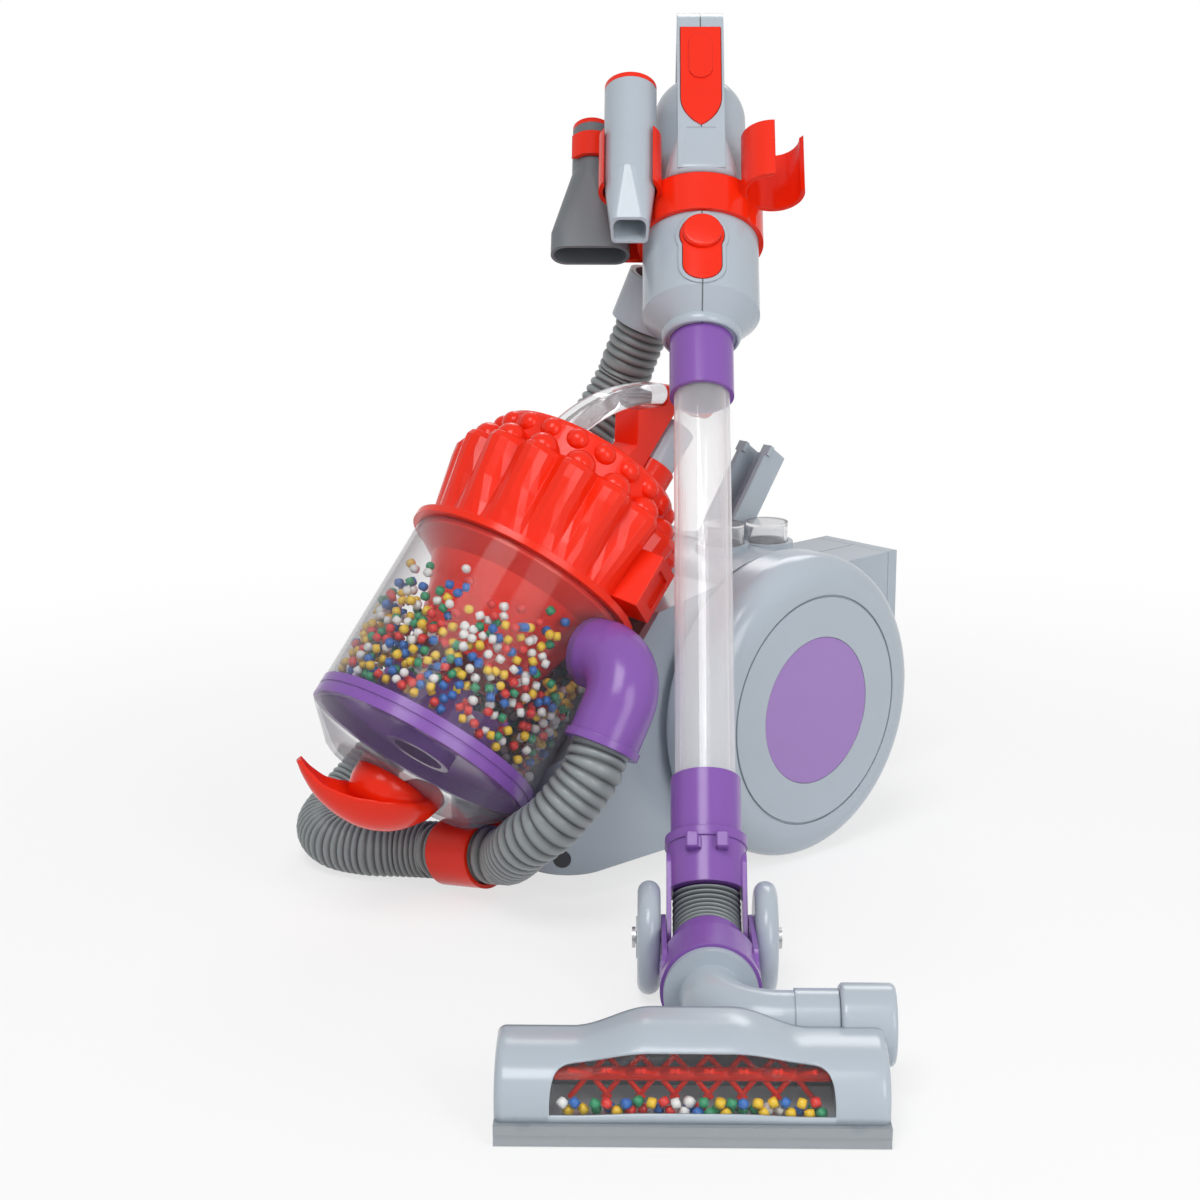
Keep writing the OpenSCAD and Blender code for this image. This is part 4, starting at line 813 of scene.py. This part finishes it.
# Columns from the middle outwards, closer together at the window's corners and at the rounded ends
halfSteps = list(range(0, 49, 3)) + [50, 52, 53.5, 55, 56, 57, 57.7, 58.3, 58.7, 59, 59.15, 59.25, 59.3,
                                     60, 63, 67, 71, 75, 78.5, 79.5, 80.5, 81.3, 81.9, 82.3, 82.5]
steps = [-x for x in reversed(halfSteps[1:])] + halfSteps
sill = math.radians(head["sill"])
behind = fromHead(0, head["rear"], 0) - fromHead(0, head["back"], 0)
upper, lower = [], []
for x in steps:
    top = max(sill, windowTop(x))
    column = [headPoint(x, top + (math.pi / 2 - top) * k / head["rows"]) for k in range(head["rows"] + 1)]
    edge = column[-1] + behind
    upper.append(column + [edge, Vector((edge.x, edge.y, head["low"] / 1000))])
    lower.append([headPoint(x, 0.0), headPoint(x, sill)])
points, faces = sheet(upper)
sillPoints, sillFaces = sheet(lower)
faces += [tuple(len(points) + v for v in face) for face in sillFaces]
rows = len(upper[0])
for column, first in ((0, True), (len(steps) - 1, False)):  # end walls
    rim = [column * rows + k for k in range(rows)] + [len(points) + column * 2]
    faces.append(tuple(rim if first else rim[::-1]))
housing = facedOut(plainMesh("headHousing", points + sillPoints, faces), head["weld"])
housePiece = newPiece("headHousing", thickened(housing, head["wall"], False), "grey")
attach(housePiece, "floor_head")

# Window, just under the housing's skin
pane = {"half": 58.9, "columns": 60, "rows": 20, "from": 1.0, "tuck": 3, "sink": 0.9, "wall": 0.001}
glass = []
for i in range(pane["columns"] + 1):
    x = pane["half"] * (2 * i / pane["columns"] - 1)
    span = windowTop(x, False) + math.radians(pane["tuck"])
    glass.append([headPoint(x, math.radians(pane["from"]) + span * k / pane["rows"], pane["sink"])
                  for k in range(pane["rows"] + 1)])
glassPiece = newPiece("headGlass", thickened(plainMesh("headGlass", *sheet(glass)), pane["wall"]), "clear")
glassPiece.data.materials[0] = clearPlastic("windowClear", (0.75, 0.76, 0.78), thin=0.02, edge=0.35)
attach(glassPiece, "floor_head")
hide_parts("head_window")

# Inner walls that close the brush chamber at both ends
chamberWall = {"from": 59.6, "to": 61.0, "sink": 0.8, "steps": 24}
for side, name in ((-1, "chamberWallLeft"), (1, "chamberWallRight")):
    loops = []
    for x in (chamberWall["from"] * side, chamberWall["to"] * side):
        loop = [headPoint(x, math.pi / 2 * k / chamberWall["steps"], chamberWall["sink"])
                for k in range(chamberWall["steps"] + 1)]
        loops.append(loop + [fromHead(x, head["back"], head["low"])])
    wallPiece = loftedPiece(name, loops, "grey", False)
    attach(wallPiece, "floor_head")

# Round socket for the pipe, level with the top of the head's solid
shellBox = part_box("head_shell")
socket = {"from": 64.3, "to": 88.3, "y": 58.0, "radius": 18.0, "rim": 1.2, "rimSteps": 1.6, "steps": 24,
          "sides": 64, "wall": 0.0034}
socketZ = shellBox[1][2] * 1000 - socket["radius"]
route, radii = [], []
for i in range(socket["steps"] + 1):
    x = socket["from"] + (socket["to"] - socket["from"]) * i / socket["steps"]
    nearEnd = max(0.0, 1 - min(i, socket["steps"] - i) / socket["rimSteps"])
    route.append(fromHead(x, socket["y"], socketZ))
    radii.append(0.001 * (socket["radius"] - socket["rim"] * nearEnd ** 2))
socketPiece = sweptSleeve("pipeSocket", route, radii, "grey", socket["sides"], socket["wall"])
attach(socketPiece, "floor_head")

# Wall that closes the socket's outer end
socketEnd = {"from": 84.6, "to": 87.4, "radius": 13.6, "sides": 48}
loops = [[fromHead(x, socket["y"] + c * socketEnd["radius"], socketZ + s * socketEnd["radius"])
          for c, s in circle(socketEnd["sides"])] for x in (socketEnd["from"], socketEnd["to"])]
endPiece = loftedPiece("socketEnd", loops, "grey", False)
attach(endPiece, "floor_head")

# Saddle under the socket
saddle = {"from": 65.0, "to": 82.0, "radius": 16.6, "front": 37.0, "low": 12.0, "high": 30.0,
          "turns": (-20, 95, 5)}
outline = [(saddle["front"], saddle["low"]), (saddle["front"], saddle["high"])]
for degrees in range(*saddle["turns"]):
    a = math.radians(degrees)
    outline.append((socket["y"] - saddle["radius"] * math.cos(a), socketZ - saddle["radius"] * math.sin(a)))
outline.append((socket["y"], saddle["low"]))
loops = [[fromHead(x, y, z) for y, z in outline] for x in (saddle["from"], saddle["to"])]
saddlePiece = loftedPiece("socketSaddle", loops, "grey", False)
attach(saddlePiece, "floor_head")
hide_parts("head_shell")
print("head housing made")


def seenRays(graph, mirrored):  # what the eye sees: straight, through clear walls, or mirrored by this share
    straight, through, glossy = [graph.node("ShaderNodeLightPath", None, None, "Is %s Ray" % kind)
                                 for kind in ("Camera", "Transmission", "Glossy")]
    return straight.join("MAXIMUM", through).join("MAXIMUM", glossy * mirrored)


# Pale floor that keeps the shadow near the object and fades to white away from it
ground = {"half": 6, "height": -0.0004, "fadeFrom": 0.3, "fadeTo": 0.95, "near": 0.70, "mirrored": 1.0}
corners = [(x * ground["half"], y * ground["half"], ground["height"])
           for x, y in ((-1, -1), (1, -1), (1, 1), (-1, 1))]
floorMesh = plainMesh("floor", corners, [(0, 1, 2, 3)])
floor = added("floor", floorMesh)
pale = Finish("paleFloor")
away = pale.node("ShaderNodeVectorMath", {"operation": "LENGTH"}, {0: pale.place()}, "Value")
fade = pale.node("ShaderNodeMapRange", {"interpolation_type": "SMOOTHSTEP"}, {
    "Value": away, "From Min": ground["fadeFrom"], "From Max": ground["fadeTo"],
    "To Min": ground["near"], "To Max": 1.0})
cloud = pale.noise(pale.place(), scale=3.0, detail=2.0)
mottle = pale.mix(cloud, (0.86, 0.86, 0.87, 1), (0.90, 0.90, 0.90, 1))
plain = pale.node("ShaderNodeBsdfDiffuse", None, {"Color": mottle})
white = pale.node("ShaderNodeEmission", None, {"Color": (1, 1, 1, 1), "Strength": 1.0})
shown = seenRays(pale, ground["mirrored"]) * fade
both = pale.node("ShaderNodeMixShader", None, {0: shown, 1: plain, 2: white})
floorMesh.materials.append(pale.surface(both))

# Surround that is white to the eye and dimmer as a light, and soft lamps
studio = {"world": 0.38, "mirrored": 0.6, "aim": (0.0, 0.0, 0.2)}
lamps = {"keyLamp": {"place": (0.5, -1.0, 2.0), "size": (1.0, 1.0), "power": 21.0},
         "fillLamp": {"place": (1.7, -0.3, 0.9), "size": (0.8, 1.2), "power": 12.0},
         "rimLamp": {"place": (-1.0, 1.2, 1.3), "size": (1.0, 0.6), "power": 7.0}}
world = bpy.data.worlds.new("studio")
bpy.context.scene.world = world
world.use_nodes = True
surround = Graph(world.node_tree)
level = seenRays(surround, studio["mirrored"]) * (1 - studio["world"]) + studio["world"]
sky = surround.node("ShaderNodeBackground", None, {"Color": (1, 1, 1, 1), "Strength": level})
surround.node("ShaderNodeOutputWorld", None, {"Surface": sky})
for name, row in lamps.items():
    light = bpy.data.lights.new(name, "AREA")
    light.shape, light.energy = "RECTANGLE", row["power"]
    light.size, light.size_y = row["size"]
    lamp = added(name, light)
    lamp.location = row["place"]
    lamp.rotation_euler = (Vector(studio["aim"]) - Vector(row["place"])).to_track_quat("-Z", "Y").to_euler()
bpy.context.scene.view_settings.view_transform = "Standard"
print("studio set")
